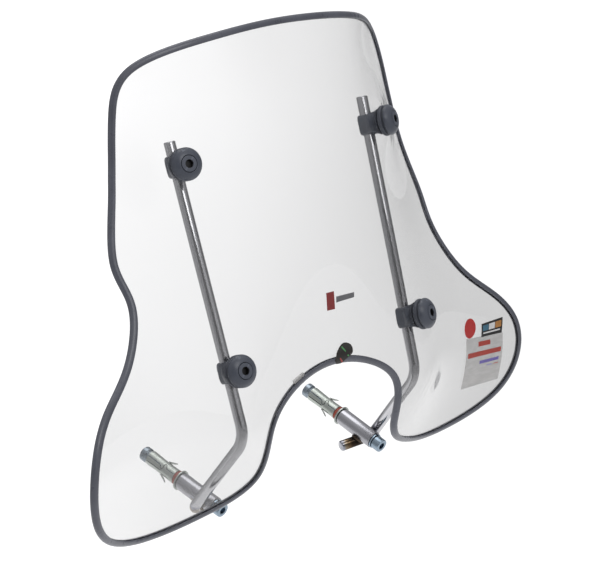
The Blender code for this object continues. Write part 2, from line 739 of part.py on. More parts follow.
def build_mount(side, tag, root):
    head, d, drop = mount_axis(side)
    mat = frame_world(head, d, (0, 0, 1))
    hub = empty("mount_" + tag + "_pivot", mat, root)
    turner = empty("bolt_" + tag + "_pivot", mat, hub)
    slider = empty("cone_" + tag + "_pivot", mat, hub)
    bolt = [(0.0, 0.0), (BOLT_HEAD_R - 0.8, 0.0), (BOLT_HEAD_R, 0.8), (BOLT_HEAD_R, 8.0),
            (BOLT_R, 8.0), (BOLT_R, 99.0), (BOLT_R - 0.7, 99.7), (0.0, 99.7)]
    v, f = lathe(bolt, 18)
    ob = add_object("expander_bolt_" + tag, v, f, "bolt", mat, turner)
    v, f = hex_prism(6.0, -1.0, 4.2)
    boolean(ob, add_object("cut_socket_" + tag, v, f, None, mat, turner))
    v, f = lathe(ring_loop(4.4, 7.2, 8.3, 10.3), 20)
    ob = add_object("lock_washer_" + tag, v, f, "bolt", mat, hub)
    v, f = box_mesh(1.0, 6.0, 4.0, (0.0, 5.8, 9.3))
    boolean(ob, add_object("cut_split_" + tag, v, f, None, mat, hub))
    v, f = lathe(ring_loop(4.4, SLEEVE_R, 10.6, 52.7, 0.4), 24)
    add_object("spacer_sleeve_" + tag, v, f, "steel", mat, hub)
    v, f = lathe([(4.4, 53.0), (9.2, 53.0), (9.2, 54.6), (6.95, 54.6), (6.95, 54.3), (4.4, 54.3)], 24)
    add_object("end_washer_" + tag, v, f, "zinc", mat, hub)
    v, f = lathe(ring_loop(4.4, 6.8, 54.6, 58.8), 24)
    add_object("fibre_ring_" + tag, v, f, "fibre", mat, hub)
    tube = [(5.3, 59.1), (ANCHOR_R - 0.3, 59.1), (ANCHOR_R, 59.4), (ANCHOR_R, 92.4),
            (ANCHOR_R - 0.3, 93.0), (5.95, 93.0), (5.3, 84.0)]
    v, f = lathe(tube, 24)
    ob = add_object("expansion_sleeve_" + tag, v, f, "zinc", mat, hub)
    for k, ang in enumerate((90, 180, 270)):
        v, f = box_mesh(1.1, 6.0, 22.0, (0.0, 7.0, 84.0))
        m2 = mat @ Matrix.Rotation(math.radians(ang), 4, "Z")
        boolean(ob, add_object("cut_slit%d_%s" % (k, tag), v, f, None, m2, hub))
    v, f = seam_cutter(61.0, 95.0)
    boolean(ob, add_object("cut_seam_" + tag, v, f, None, mat, hub))
    cone = [(4.25, 84.6), (4.7, 84.6), (5.55, 93.4), (6.3, 97.6), (6.6, 98.2), (6.6, 100.4),
            (6.1, 101.0), (4.25, 101.0)]
    v, f = lathe(cone, 20)
    add_object("cone_nut_" + tag, v, f, "zinc", mat, slider)
    build_weld(side, tag, hub)
    return hub


def weld_line(side, steps):
    """Closed line where the stub and the sleeve surfaces meet."""
    cross, u, away = stub_axis(side)
    head, d, _ = mount_axis(side)
    mid = cross - away * STUB_DROP
    e2 = np.cross(away, d)
    out = []
    for k in range(steps):
        a = 2 * math.pi * k / steps
        e = d * math.cos(a) + e2 * math.sin(a)
        lo, hi = 0.0, 9.0
        for _ in range(30):
            r = (lo + hi) / 2
            b = r * abs(e @ e2)
            c = r * np.linalg.norm(np.cross(e, u))
            top = math.sqrt(max(SLEEVE_R ** 2 - b * b, 0.0))
            low = STUB_DROP - math.sqrt(max(ROD_R ** 2 - c * c, 0.0))
            if top > low:
                lo = r
            else:
                hi = r
        out.append(mid + e * lo + away * (top + low) / 2)
    return out


def build_weld(side, tag, parent):
    """Fillet weld bead around the crossing of the stub and the sleeve."""
    head, d, _ = mount_axis(side)
    line = weld_line(side, WELD_STEPS)
    mid = sum(line) / len(line)
    verts, faces = [], []
    m = 8
    for k, p in enumerate(line):
        t = line[(k + 1) % WELD_STEPS] - line[k - 1]
        t /= np.linalg.norm(t)
        a = p - mid
        a -= t * (a @ t)
        a /= np.linalg.norm(a)
        b = np.cross(t, a)
        for j in range(m):
            g = 2 * math.pi * (j + 0.37) / m
            verts.append(p + WELD_R * (math.cos(g) * a + math.sin(g) * b))
    for k in range(WELD_STEPS):
        k2 = (k + 1) % WELD_STEPS
        for j in range(m):
            j2 = (j + 1) % m
            faces.append((k * m + j, k * m + j2, k2 * m + j2, k2 * m + j))
    inv = parent.matrix_world.inverted()
    verts = [inv @ v for v in layout_to_world(verts)]
    ob = add_object("weld_" + tag, verts, faces, "tint", parent.matrix_world.copy(), parent)
    r = SLEEVE_R + WELD_GAP
    v, f = lathe([(0.0, 0.0), (r, 0.0), (r, 70.0), (0.0, 70.0)], 24)
    boolean(ob, add_object("cut_weld_a_" + tag, v, f, None, frame_world(head, d, (0, 0, 1)), parent))
    v, f = sweep(fillet_path(rod_points(side), (BEND1_R, BEND2_R), 6), ROD_R + WELD_GAP, 16)
    v = [inv @ q for q in layout_to_world(v)]
    boolean(ob, add_object("cut_weld_b_" + tag, v, f, None, parent.matrix_world.copy(), parent))


# ---------------------------------------------------------------- labels
def build_patch(name, outline, lift, thick, kind, parent, rings):
    """Thin sheet lying on the front face; outline in layout x, z."""
    o = np.array(outline, float)
    mid = o.mean(0)
    loops = [mid + (o - mid) * (k / rings) for k in range(rings, 0, -1)]
    flat = np.vstack(loops + [mid[None]])
    s = SHEET.point(flat[:, 0], flat[:, 1])
    n = SHEET.normal(flat[:, 0], flat[:, 1])
    low = s + n * (SHEET_T / 2 + lift)
    top = low + n * thick
    m, c, k = len(flat), len(o), len(loops)
    faces = []
    for j in range(k - 1):
        for i in range(c):
            i2 = (i + 1) % c
            faces.append((j * c + i, j * c + i2, (j + 1) * c + i2, (j + 1) * c + i))
    for i in range(c):
        faces.append(((k - 1) * c + i, (k - 1) * c + (i + 1) % c, m - 1))
    faces += [tuple(m + i for i in reversed(f)) for f in faces]
    faces += [(i, (i + 1) % c, m + (i + 1) % c, m + i) for i in range(c)]
    inv = parent.matrix_world.inverted()
    verts = [inv @ v for v in layout_to_world(list(top) + list(low))]
    return add_object(name, verts, faces, kind, parent.matrix_world.copy(), parent)


def quad_outline(corners, steps):
    out = []
    for i in range(4):
        a, b = np.array(corners[i], float), np.array(corners[(i + 1) % 4], float)
        for k in range(steps):
            out.append(tuple(a + (b - a) * k / steps))
    return out


LABEL = ((207, -178), (256, -177), (258, -218), (214, -218))
FLAG = ((230, -158), (255, -163), (252, -176), (226, -173))
ROUND_AT = (211, -162)
ROUND_R = 9.0
TAG_AT = (54.15, 54.95)            # ends of the edge clip, counted in rim steps


def build_labels(parent):
    build_patch("film_label", quad_outline(LABEL, 3), 0.45, 0.2, "film", parent, 2)
    build_patch("flag_sticker", quad_outline(FLAG, 3), 0.45, 0.2, "film", parent, 2)
    circle = [(ROUND_AT[0] + ROUND_R * math.cos(a), ROUND_AT[1] + ROUND_R * math.sin(a))
              for a in np.arange(20) * math.pi / 10]
    build_patch("round_sticker", circle, 0.45, 0.2, "red", parent, 2)
    build_tag(parent)


def build_tag(parent):
    """Small clip folded over the edge trim where its ends meet."""
    c, out, n = edge_frames(RIM_STEPS)
    i = int(TAG_AT[0])
    angles = [math.radians(a) for a in range(-132, 133, 44)]
    sec = [((TRIM_A + 1.3) * math.cos(a), (TRIM_B + 1.3) * math.sin(a)) for a in angles]
    sec += [((TRIM_A + 0.45) * math.cos(a), (TRIM_B + 0.45) * math.sin(a)) for a in reversed(angles)]
    m = len(sec)
    verts, faces = [], []
    for t in TAG_AT:
        w = t - i
        p, q, r = (g[i] * (1 - w) + g[i + 1] * w for g in (c, out, n))
        verts += [p + q * a + r * b for a, b in sec]
    for j in range(m):
        j2 = (j + 1) % m
        faces.append((j, j2, m + j2, m + j))
    h = m // 2
    for base in (0, m):
        for j in range(h - 1):
            faces.append((base + j, base + j + 1, base + m - 2 - j, base + m - 1 - j))
    inv = parent.matrix_world.inverted()
    verts = [inv @ v for v in layout_to_world(verts)]
    return add_object("edge_tag", verts, faces, "tag", parent.matrix_world.copy(), parent)


def main():
    clear_scene()
    root = empty("root", Matrix.Identity(4))
    slide = empty("screen_slide", frame_world((0, 0, 0), (0, 0, 1), (0, -1, 0)), root)
    build_screen(slide)
    build_trim(slide)
    for side in (-1, 1):
        for row, z, turn in CLAMPS:
            build_clamp(side, row, z, turn, root)
    for side, tag in ((-1, "l"), (1, "r")):
        build_rod(side, tag, root)
        build_mount(side, tag, root)
    build_labels(slide)


main()
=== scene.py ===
import math

import bmesh
import bpy
import numpy as np
from mathutils import Matrix, Vector
from mathutils.geometry import delaunay_2d_cdt


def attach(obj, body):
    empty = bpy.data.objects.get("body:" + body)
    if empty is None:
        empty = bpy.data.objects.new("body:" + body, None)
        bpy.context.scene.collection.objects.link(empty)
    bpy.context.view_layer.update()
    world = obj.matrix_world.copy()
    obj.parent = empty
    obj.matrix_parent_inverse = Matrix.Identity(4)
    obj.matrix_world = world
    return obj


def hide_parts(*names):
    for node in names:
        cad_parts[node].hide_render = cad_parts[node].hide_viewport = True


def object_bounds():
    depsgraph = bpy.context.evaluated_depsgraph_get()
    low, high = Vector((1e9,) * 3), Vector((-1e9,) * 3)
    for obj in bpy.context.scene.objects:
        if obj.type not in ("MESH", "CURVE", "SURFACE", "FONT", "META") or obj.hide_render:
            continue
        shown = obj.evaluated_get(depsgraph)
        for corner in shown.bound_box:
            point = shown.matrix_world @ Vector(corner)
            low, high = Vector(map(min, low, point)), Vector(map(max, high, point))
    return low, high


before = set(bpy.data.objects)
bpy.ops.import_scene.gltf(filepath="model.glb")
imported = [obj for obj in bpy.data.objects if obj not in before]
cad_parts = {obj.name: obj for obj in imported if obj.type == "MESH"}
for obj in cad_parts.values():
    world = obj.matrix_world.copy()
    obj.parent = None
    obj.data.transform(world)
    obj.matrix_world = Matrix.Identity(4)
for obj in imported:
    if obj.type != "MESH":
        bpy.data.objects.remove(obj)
cad_lo, cad_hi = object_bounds()

MM = 0.001

# ---- layout, all in mm in a frame that leans back with the rods ----
LEAN_COS, LEAN_SIN = math.cos(math.radians(17.0)), math.sin(math.radians(17.0))
MOVE_Y, MOVE_Z = -45.6, 241.9
# sheet thickness, air gap between parts, and how far the rim and the first inner ring are off the edge line
SHEET_T, GAP = 3.0, 0.3
EDGE_IN, LIP_RUN = 0.7, 7.5
# the surface is fitted to this many edge points and to a ring of points at each clamp seat
FIT_STEPS, SEAT_R, SEAT_STEPS = 72, 15.0, 6
FIT_UNIT, FIT_EASE = 100.0, 0.0005
# a point on each wing that keeps the sheet clear of the lower rod bend
RELIEF = (117.0, 8.0, -189.0)
# trim section: half width, half height and how far its lips reach inwards
TRIM_A, TRIM_B, TRIM_LIP = 4.5, 3.2, 1.6
# control points of the right half of the edge, from the top middle round to the arch
EDGE = (
    (0, -21, 150), (91, -29, 144), (160, 19, 137), (173, 26, 101),
    (182, 37, 28), (203, 39, -27), (188, 27, -56), (217, 25, -112),
    (259, 22, -138), (286, 17, -177), (277, 47, -235), (200, 90, -257),
    (135, 64, -248), (79, 34, -232), (99, 4, -176), (0, 9, -135),
)
# rods: radius, distance behind the frame's plane, half distance at z = 0 and its growth with z
ROD_R, ROD_BACK, ROD_X0, SPLAY = 5.0, 17.4, 122.2, 0.0342
ROD_TOP, BEND1_Z, BEND1_R, BEND2_R = 70.0, -189.3, 26.0, 13.0
ROD_SLIP = {-1: -2.4, 1: 2.4}
# clamp rows: name, height, outward turn in degrees
CLAMPS = (("u", 46.3, 19.7), ("l", -132.6, 12.4))
# rod axis to sheet, the radius of the holes in the sheet, and the flat pad face before it follows the sheet
STACK, HOLE_R, PAD_FACE = 15.0, 6.6, 1.8
# expander mounts: bolt head, pitch with a trim for each side, and toe-out in degrees
AXIS_H = (107.9, 70.2, -250.3)
MOUNT_PITCH, PITCH_TRIM, TOE = 36.2, {-1: -1.5, 1: 1.5}, 0.8
# where and how the rod's lower end crosses under the spacer sleeve
STUB_AT, STUB_DROP, STUB_ROLL, STUB_TILT = 26.5, 10.3, 18.0, 15.0
STUB_LEN, HEEL_X, SLEEVE_R = 33.0, 121.5, 8.0
SIDES = ((-1, "l"), (1, "r"))
# the seam of both expansion sleeves, turned round their axis in degrees
SEAM_TURN = -50.0
# outlines of the film label, the stickers and the printed mark, as x, z on the sheet
LABEL = ((205, -171), (258, -175), (260, -219), (212.5, -218.5))
FLAG = ((229.5, -161.5), (259.5, -161.0), (256.5, -175.0), (228.5, -173.5))
ROUND_AT, ROUND_R = (211.2, -162.0), 9.2
MARK_BLOCK = ((-4.8, -89.0), (5.4, -89.2), (5.2, -104.8), (-5.2, -104.4))
MARK_BAR = ((8.0, -92.2), (32.0, -93.2), (31.0, -101.9), (7.0, -102.5))
TAG_LEAN = math.radians(50.0)
# place of the tag along the edge, and its rows: height on the stem, left and right side
TAG_PLACE, TAG_STEPS = 0.5033, 2160
TAG_ROWS = (
    (-6.5, -5.6, 4.0), (-4.5, -6.3, 4.0), (-2.5, -7.1, 4.1), (-0.5, -7.6, 4.2), (1.5, -8.0, 4.3),
    (3.5, -8.5, 4.4), (5.5, -9.0, 4.7), (7.5, -9.2, 5.2), (9.5, -9.0, 5.7), (11.5, -8.3, 6.1),
    (13.3, -7.0, 6.4), (15.0, -5.0, 6.2), (16.4, -2.6, 5.3), (17.3, 0.2, 3.3),
)

# ---- stage, in metres ----
LENS_MM, CAMERA_AT = 146.36, (-1.5491, -1.4278, 0.7044)
CAMERA_RIGHT, CAMERA_BACK = (0.6658, -0.7461, 0.0), (-0.7217, -0.6440, 0.2537)
# lamps: name, place, size and power in watts; all point at LAMP_TARGET
LAMPS = (("key", (-0.6, -1.5, 1.7), (1.0, 1.0), 9.0), ("top", (0.2, 0.5, 2.1), (1.4, 1.0), 9.0))
LAMP_TARGET = (0.0, 0.0, 0.2)
# floor: how far below the object, half its width, and its direction away from the viewer
FLOOR_DROP, FLOOR_HALF, FLOOR_AWAY = 0.20, 9.0, (0.746, 0.666, 0.0)
# strength of the floor's own glow, and what is left of it where it fades
GLOW, EDGE_GLOW = 0.56, 0.09
# colour overhead, and brightness round the horizon: 0 is straight behind the viewer, 90 the viewer's right
CEILING, SURROUND_TURN = (0.75, 0.75, 0.76), math.radians(-41.7)
SURROUND = (
    (0, 0.10), (16, 0.12), (32, 0.75), (62, 0.75), (98, 0.20), (140, 0.20), (165, 0.50), (200, 0.50),
    (230, 0.32), (262, 0.48), (330, 0.50), (346, 0.12),
)


def to_world(p):
    x, y, z = float(p[0]), float(p[1]), float(p[2])
    return Vector((x, y * LEAN_COS + z * LEAN_SIN + MOVE_Y, -y * LEAN_SIN + z * LEAN_COS + MOVE_Z)) * MM


def dir_world(d):
    x, y, z = d
    return Vector((x, y * LEAN_COS + z * LEAN_SIN, -y * LEAN_SIN + z * LEAN_COS)).normalized()


def placed(x, y, z, at):
    m = Matrix((x, y, z)).transposed().to_4x4()
    m.translation = at
    return m


def frame_world(origin, axis, up):
    """Matrix with Z along the axis and Y near up, at a layout point."""
    z = dir_world(axis)
    x = dir_world(up).cross(z).normalized()
    return placed(x, z.cross(x), z, to_world(origin))


def unit(v):
    return v / np.linalg.norm(v)


def turns(n):
    return [2 * math.pi * k / n for k in range(n)]


def circle(mid, r, e1, e2, n):
    return [mid + r * (math.cos(a) * e1 + math.sin(a) * e2) for a in turns(n)]


# ---- materials ----
def set_stops(ramp, stops):
    e = ramp.elements
    while len(e) < len(stops):
        e.new(0.5)
    for k, (pos, col) in enumerate(stops):
        e[k].position = pos
        e[k].color = (*col, 1.0)


class Nodes:
    """Small helper for building a node material."""

    def __init__(self, name, base, rough, metal=0.0):
        self.m = bpy.data.materials.new(name)
        self.m.use_nodes = True
        self.t = self.m.node_tree
        self.b = self.t.nodes["Principled BSDF"]
        self.b.inputs["Base Color"].default_value = (*base, 1.0)
        self.b.inputs["Roughness"].default_value = rough
        self.b.inputs["Metallic"].default_value = metal
        self.m.diffuse_color = (*base, 1.0)
        self.co = self.t.nodes.new("ShaderNodeTexCoord").outputs["Object"]

    def add(self, kind, **kw):
        n = self.t.nodes.new("ShaderNode" + kind)
        for k, v in kw.items():
            setattr(n, k, v)
        return n

    def link(self, a, b):
        self.t.links.new(a, b)

    def noise(self, scale, detail, stretch=(1, 1, 1)):
        place = self.add("Mapping")
        place.inputs["Scale"].default_value = stretch
        self.link(self.co, place.inputs["Vector"])
        n = self.add("TexNoise")
        n.inputs["Scale"].default_value = scale
        n.inputs["Detail"].default_value = detail
        self.link(place.outputs["Vector"], n.inputs["Vector"])
        return n.outputs["Fac"]

    def spread(self, value, low, high, start=0.3, stop=0.7):
        n = self.add("MapRange")
        n.inputs["From Min"].default_value = start
        n.inputs["From Max"].default_value = stop
        n.inputs["To Min"].default_value = low
        n.inputs["To Max"].default_value = high
        self.link(value, n.inputs["Value"])
        return n.outputs["Result"]

    def ramp(self, value, stops):
        n = self.add("ValToRGB")
        set_stops(n.color_ramp, stops)
        self.link(value, n.inputs["Fac"])
        return n.outputs["Color"]

    def mix(self, fac, a, b):
        n = self.add("Mix", data_type="RGBA")
        self.link(fac, n.inputs[0])
        for sock, v in ((n.inputs[6], a), (n.inputs[7], b)):
            if isinstance(v, tuple):
                sock.default_value = (*v, 1.0)
            else:
                self.link(v, sock)
        return n.outputs[2]

    def calc(self, operation, *values):
        """Math node whose inputs are sockets or plain numbers."""
        n = self.add("Math", operation=operation)
        for sock, v in zip(n.inputs, values):
            if isinstance(v, float):
                sock.default_value = v
            else:
                self.link(v, sock)
        return n.outputs[0]

    def measure(self, operation, vector):
        """Dot product with a vector, or distance from a point, of the object position."""
        n = self.add("VectorMath", operation=operation)
        self.link(self.co, n.inputs[0])
        n.inputs[1].default_value = vector
        return n.outputs["Value"]

    def roughness(self, scale, low, high, stretch=(1, 1, 1)):
        self.link(self.spread(self.noise(scale, 4.0, stretch), low, high), self.b.inputs["Roughness"])

    def bump(self, value, depth, strength=1.0, chain=None):
        n = self.add("Bump")
        n.inputs["Distance"].default_value = depth
        n.inputs["Strength"].default_value = strength
        self.link(value, n.inputs["Height"])
        if chain is not None:
            self.link(chain, n.inputs["Normal"])
        self.link(n.outputs["Normal"], self.b.inputs["Normal"])
        return n.outputs["Normal"]


def moulded(name, base, rough, grain, depth, worn=0.0):
    """Satin plastic or rubber: fine grain, soft cloudy tone, paler rubbed edges."""
    s = Nodes(name, base, rough[0])
    dark = tuple(c * 0.82 for c in base)
    light = tuple(min(1.0, c * 1.22 + 0.004) for c in base)
    cloud = s.ramp(s.noise(38.0, 5.0), ((0.3, dark), (0.55, base), (0.8, light)))
    if worn > 0.0:
        geo = s.add("NewGeometry")
        edge = s.spread(geo.outputs["Pointiness"], 0.0, worn, 0.53, 0.62)
        cloud = s.mix(edge, cloud, tuple(min(1.0, c * 2.4 + 0.02) for c in base))
    s.link(cloud, s.b.inputs["Base Color"])
    s.roughness(170.0, rough[0], rough[1])
    first = s.bump(s.noise(grain, 2.0), depth)
    s.bump(s.noise(60.0, 2.0), depth * 2.5, 0.35, first)
    return s


def metal(name, base, rough, streak=(1, 1, 1), grain=900.0, depth=0.00002, mottle=0.12):
    """Bright metal: directional fine lines, patchy sheen and a little soiling."""
    s = Nodes(name, base, rough[0], 1.0)
    low = tuple(c * (1 - mottle) for c in base)
    high = tuple(min(1.0, c * (1 + mottle * 0.5)) for c in base)
    s.tone = s.ramp(s.noise(120.0, 6.0, streak), ((0.32, low), (0.62, base), (0.8, high)))
    s.link(s.tone, s.b.inputs["Base Color"])
    s.roughness(260.0, rough[0], rough[1], streak)
    s.bump(s.noise(grain, 3.0, streak), depth, 0.6)
    return s


def heat_tinted(s, spots, near_m=0.008, far_m=0.026):
    """Straw, blue and black scale around weld points, in object metres."""
    dist = s.measure("DISTANCE", spots[0])
    for p in spots[1:]:
        dist = s.calc("MINIMUM", dist, s.measure("DISTANCE", p))
    ragged = s.calc("MULTIPLY_ADD", s.noise(220.0, 4.0), 0.007, dist)
    near = s.spread(ragged, 0.0, 1.0, near_m, far_m)
    burn = s.ramp(near, ((0.0, (0.010, 0.009, 0.008)), (0.25, (0.035, 0.024, 0.016)),
                         (0.42, (0.12, 0.080, 0.045)), (0.56, (0.23, 0.19, 0.14)),
                         (0.70, (0.26, 0.27, 0.32)), (0.85, (0.46, 0.46, 0.48))))
    keep = s.spread(near, 0.0, 1.0, 0.75, 1.0)
    s.link(s.mix(keep, burn, s.tone), s.b.inputs["Base Color"])


def acrylic():
    """Clear sheet of faint grey, with painted shade: its colour is made darker to the right and downwards to
    stand for the light and shade across the curved sheet.
    """
    s = Nodes("clear_acrylic", (0.78, 0.78, 0.78), 0.02)
    place = s.add("SeparateXYZ")
    s.link(s.co, place.inputs[0])
    # painted shade: the base colour is darker to the right and downwards, set by position on the sheet, not a
    # tint the sheet has
    shade = s.spread(place.outputs["X"], 0.0, 1.0, -0.26, 0.27)
    low, high = (s.ramp(shade, tuple((at, (v, v, v)) for at, v in zip((0.0, 0.5, 1.0), painted_shade_greys)))
                 for painted_shade_greys in ((0.765, 0.69, 0.55), (0.815, 0.79, 0.73)))
    rise = s.spread(place.outputs["Z"], 0.0, 1.0, 0.0, 0.30)
    s.link(s.mix(rise, low, high), s.b.inputs["Base Color"])
    s.b.inputs["Transmission Weight"].default_value = 1.0
    s.b.inputs["IOR"].default_value = 1.49
    s.roughness(30.0, 0.0, 0.03)
    first = s.bump(s.noise(7.0, 1.0), 0.0003, 0.2)
    s.bump(s.noise(900.0, 2.0, (1, 0.06, 0.4)), 0.000003, 0.5, first)
    out = s.t.nodes["Material Output"]
    clear = s.add("BsdfTransparent")
    clear.inputs["Color"].default_value = (0.88, 0.885, 0.89, 1.0)
    path = s.add("LightPath")
    both = s.add("MixShader")
    s.link(path.outputs["Is Shadow Ray"], both.inputs[0])
    s.link(s.b.outputs[0], both.inputs[1])
    s.link(clear.outputs[0], both.inputs[2])
    s.link(both.outputs[0], out.inputs["Surface"])
    return s.m


M = {}
M["acrylic"] = acrylic()
M["trim"] = moulded("trim_vinyl", (0.105, 0.110, 0.135), (0.26, 0.32), 3000.0, 0.000003).m
M["plastic"] = moulded("clamp_plastic", (0.074, 0.083, 0.107), (0.30, 0.40), 3000.0, 0.000006, 0.35).m
M["rubber"] = moulded("washer_rubber", (0.060, 0.066, 0.084), (0.40, 0.55), 2500.0, 0.000008, 0.2).m
M["black"] = moulded("socket_black", (0.006, 0.006, 0.007), (0.4, 0.6), 900.0, 0.00002).m
M["zinc"] = metal("clear_zinc", (0.42, 0.45, 0.42), (0.30, 0.38), (1, 1, 0.5), 300.0, 0.000002, 0.07).m
M["cone"] = metal("cone_zinc", (0.25, 0.29, 0.33), (0.24, 0.32), (1, 1, 0.5), 300.0, 0.000002, 0.06).m
M["bolt"] = metal("blue_zinc", (0.27, 0.34, 0.41), (0.20, 0.30), (1, 1, 0.5), 300.0, 0.000003, 0.10).m
M["fibre"] = moulded("red_fibre", (0.34, 0.060, 0.035), (0.5, 0.7), 900.0, 0.00005).m


# ---- mesh helpers ----
SHARP = 38.0


def add_object(name, data):
    ob = bpy.data.objects.new(name, data)
    bpy.context.scene.collection.objects.link(ob)
    return ob


def new_object(name, verts, faces, matrix=None):
    me = bpy.data.meshes.new(name)
    me.from_pydata([tuple(v) for v in verts], [], faces)
    bm = bmesh.new()
    bm.from_mesh(me)
    bmesh.ops.recalc_face_normals(bm, faces=bm.faces)
    bm.to_mesh(me)
    bm.free()
    ob = add_object(name, me)
    if matrix is not None:
        ob.matrix_world = matrix
    return ob


def shade(me, sharp=SHARP, clean=False):
    """Smooth faces, with hard edges where faces meet at more than the sharp angle."""
    bm = bmesh.new()
    bm.from_mesh(me)
    if clean:
        bmesh.ops.remove_doubles(bm, verts=bm.verts, dist=2e-6)
        bmesh.ops.dissolve_degenerate(bm, dist=1e-6, edges=bm.edges)
    for f in bm.faces:
        f.smooth = True
    for e in bm.edges:
        e.smooth = len(e.link_faces) == 2 and e.calc_face_angle(0.0) < math.radians(sharp)
    bm.to_mesh(me)
    bm.free()


def piece(name, verts, faces, mat, body, swaps=(), slot=None, matrix=None, sharp=SHARP):
    """New piece with one material; a body of None leaves the riding to the caller."""
    ob = new_object(name, verts, faces, matrix)
    shade(ob.data, sharp)
    ob.data.materials.append(mat)
    bpy.context.view_layer.update()
    if body is not None:
        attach(ob, body)
        if swaps:
            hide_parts(*swaps)
    return ob


def bands(rows, cols, closed=False):
    """Quads between rows of points, where each row closes on itself."""
    faces = []
    for i in range(rows if closed else rows - 1):
        i2 = (i + 1) % rows
        for k in range(cols):
            k2 = (k + 1) % cols
            faces.append((i * cols + k, i * cols + k2, i2 * cols + k2, i2 * cols + k))
    return faces


def capped(rows, cols):
    last = (rows - 1) * cols
    return bands(rows, cols) + [tuple(reversed(range(cols))), tuple(range(last, last + cols))]


def lathe(profile, steps):
    """Turn (radius, height) points in mm round Z; one that ends off the axis closes on its start."""
    verts, rings, faces = [], [], []
    for r, s in profile:
        if r < 1e-6:
            rings.append([len(verts)])
            verts.append((0.0, 0.0, s * MM))
            continue
        rings.append(list(range(len(verts), len(verts) + steps)))
        for k in range(steps):
            a = 2 * math.pi * (k + 0.5) / steps
            verts.append((r * MM * math.cos(a), r * MM * math.sin(a), s * MM))
    n = len(rings)
    is_open = len(rings[0]) == 1 and len(rings[-1]) == 1
    for i in range(n - 1 if is_open else n):
        a, b = rings[i], rings[(i + 1) % n]
        for k in range(steps):
            k2 = (k + 1) % steps
            if len(a) == 1 and len(b) == 1:
                continue
            if len(a) == 1:
                faces.append((a[0], b[k], b[k2]))
            elif len(b) == 1:
                faces.append((a[k], a[k2], b[0]))
            else:
                faces.append((a[k], a[k2], b[k2], b[k]))
    return verts, faces


def softened(loop, radius, count=3):
    """Round every corner of a closed (r, s) loop."""
    out = []
    n = len(loop)
    for i in range(n):
        p = np.array(loop[i], float)
        a = np.array(loop[i - 1], float) - p
        b = np.array(loop[(i + 1) % n], float) - p
        la, lb = np.linalg.norm(a), np.linalg.norm(b)
        cut = min(radius, la * 0.45, lb * 0.45)
        q0, q1 = p + a / la * cut, p + b / lb * cut
        for k in range(count + 1):
            t = k / count
            out.append(tuple((1 - t) ** 2 * q0 + 2 * t * (1 - t) * p + t * t * q1))
    return out


def ring_loop(r_in, r_out, s0, s1):
    return [(r_in, s0), (r_out, s0), (r_out, s1), (r_in, s1)]


def turned(name, loop, mat, body, matrix, swaps=(), slot=None, soft=0.25, steps=72):
    if soft > 0.0:
        loop = softened(loop, soft)
    v, f = lathe(loop, steps)
    return piece(name, v, f, mat, body, swaps, slot, matrix)


def carved(name, shape, mat, body, node, slot, matrix, *cuts):
    """Piece for one CAD node, with exact Boolean cuts applied; a cut is a shape and its matrix."""
    ob = piece(name, *shape, mat, None, matrix=matrix)
    cutters = [new_object("cutter", *s, place) for s, place in cuts]
    for c in cutters:
        m = ob.modifiers.new("cut", "BOOLEAN")
        m.operation = "DIFFERENCE"
        m.solver = "EXACT"
        m.object = c
    bpy.context.view_layer.update()
    dg = bpy.context.evaluated_depsgraph_get()
    me = bpy.data.meshes.new_from_object(ob.evaluated_get(dg))
    ob.modifiers.clear()
    ob.data = me
    shade(me, clean=True)
    even = ob.modifiers.new("even", "WEIGHTED_NORMAL")
    even.keep_sharp = True
    even.weight = 90
    for c in cutters:
        bpy.data.objects.remove(c, do_unlink=True)
    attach(ob, body)
    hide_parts(node)
    return ob


def prism(outline, s0, s1):
    m = len(outline)
    verts = [(x * MM, y * MM, s0 * MM) for x, y in outline] + [(x * MM, y * MM, s1 * MM) for x, y in outline]
    faces = [tuple(reversed(range(m))), tuple(range(m, 2 * m))]
    faces += [(k, (k + 1) % m, (k + 1) % m + m, k + m) for k in range(m)]
    return verts, faces


def rod_cut(r, s0, s1, steps):
    return lathe([(0.0, s0), (r, s0), (r, s1), (0.0, s1)], steps)


def hexagon(af):
    r = af / math.sqrt(3)
    return [(r * math.cos(a), r * math.sin(a)) for a in turns(6)]


def slit(width, s0, s1):
    """Cut through a thin sleeve, on the local +Y side."""
    x, y0, y1 = width / 2, 4.0, 10.0
    return prism([(-x, y0), (x, y0), (x, y1), (-x, y1)], s0, s1)


def spun(matrix, degrees):
    return matrix @ Matrix.Rotation(math.radians(degrees), 4, "Z")


# ---- screen surface ----
def edge_curve(steps):
    half = [np.array(p, float) for p in EDGE]
    left = [p * np.array([-1, 1, 1]) for p in half]
    ring = np.array([left[0]] + left[1:-1] + [left[-1]] + half[1:-1][::-1])
    n = len(ring)
    out = []
    for k in range(steps):
        t = k / steps * n
        i = int(math.floor(t))
        f = t - i
        w = ((1 - f) ** 3, 3 * f ** 3 - 6 * f ** 2 + 4, -3 * f ** 3 + 3 * f ** 2 + 3 * f + 1, f ** 3)
        out.append(sum(w[j] * ring[(i - 1 + j) % n] for j in range(4)) / 6)
    return np.array(out)


def clamp_axis(side, z, turn):
    x = ROD_X0 + SPLAY * z
    a = math.radians(turn)
    rod = np.array([side * x, ROD_BACK, z])
    axis = np.array([side * math.sin(a), -math.cos(a), -SPLAY * math.sin(a)])
    return rod, unit(axis)


def across(axis):
    ex = unit(np.cross([0, 0, 1.0], axis))
    return ex, np.cross(axis, ex)


def seat_disc(seat, axis):
    return [seat] + circle(seat, SEAT_R, *across(axis), SEAT_STEPS)


def kernel(d2):
    return 0.5 * d2 * np.log(np.maximum(d2, 1e-9))


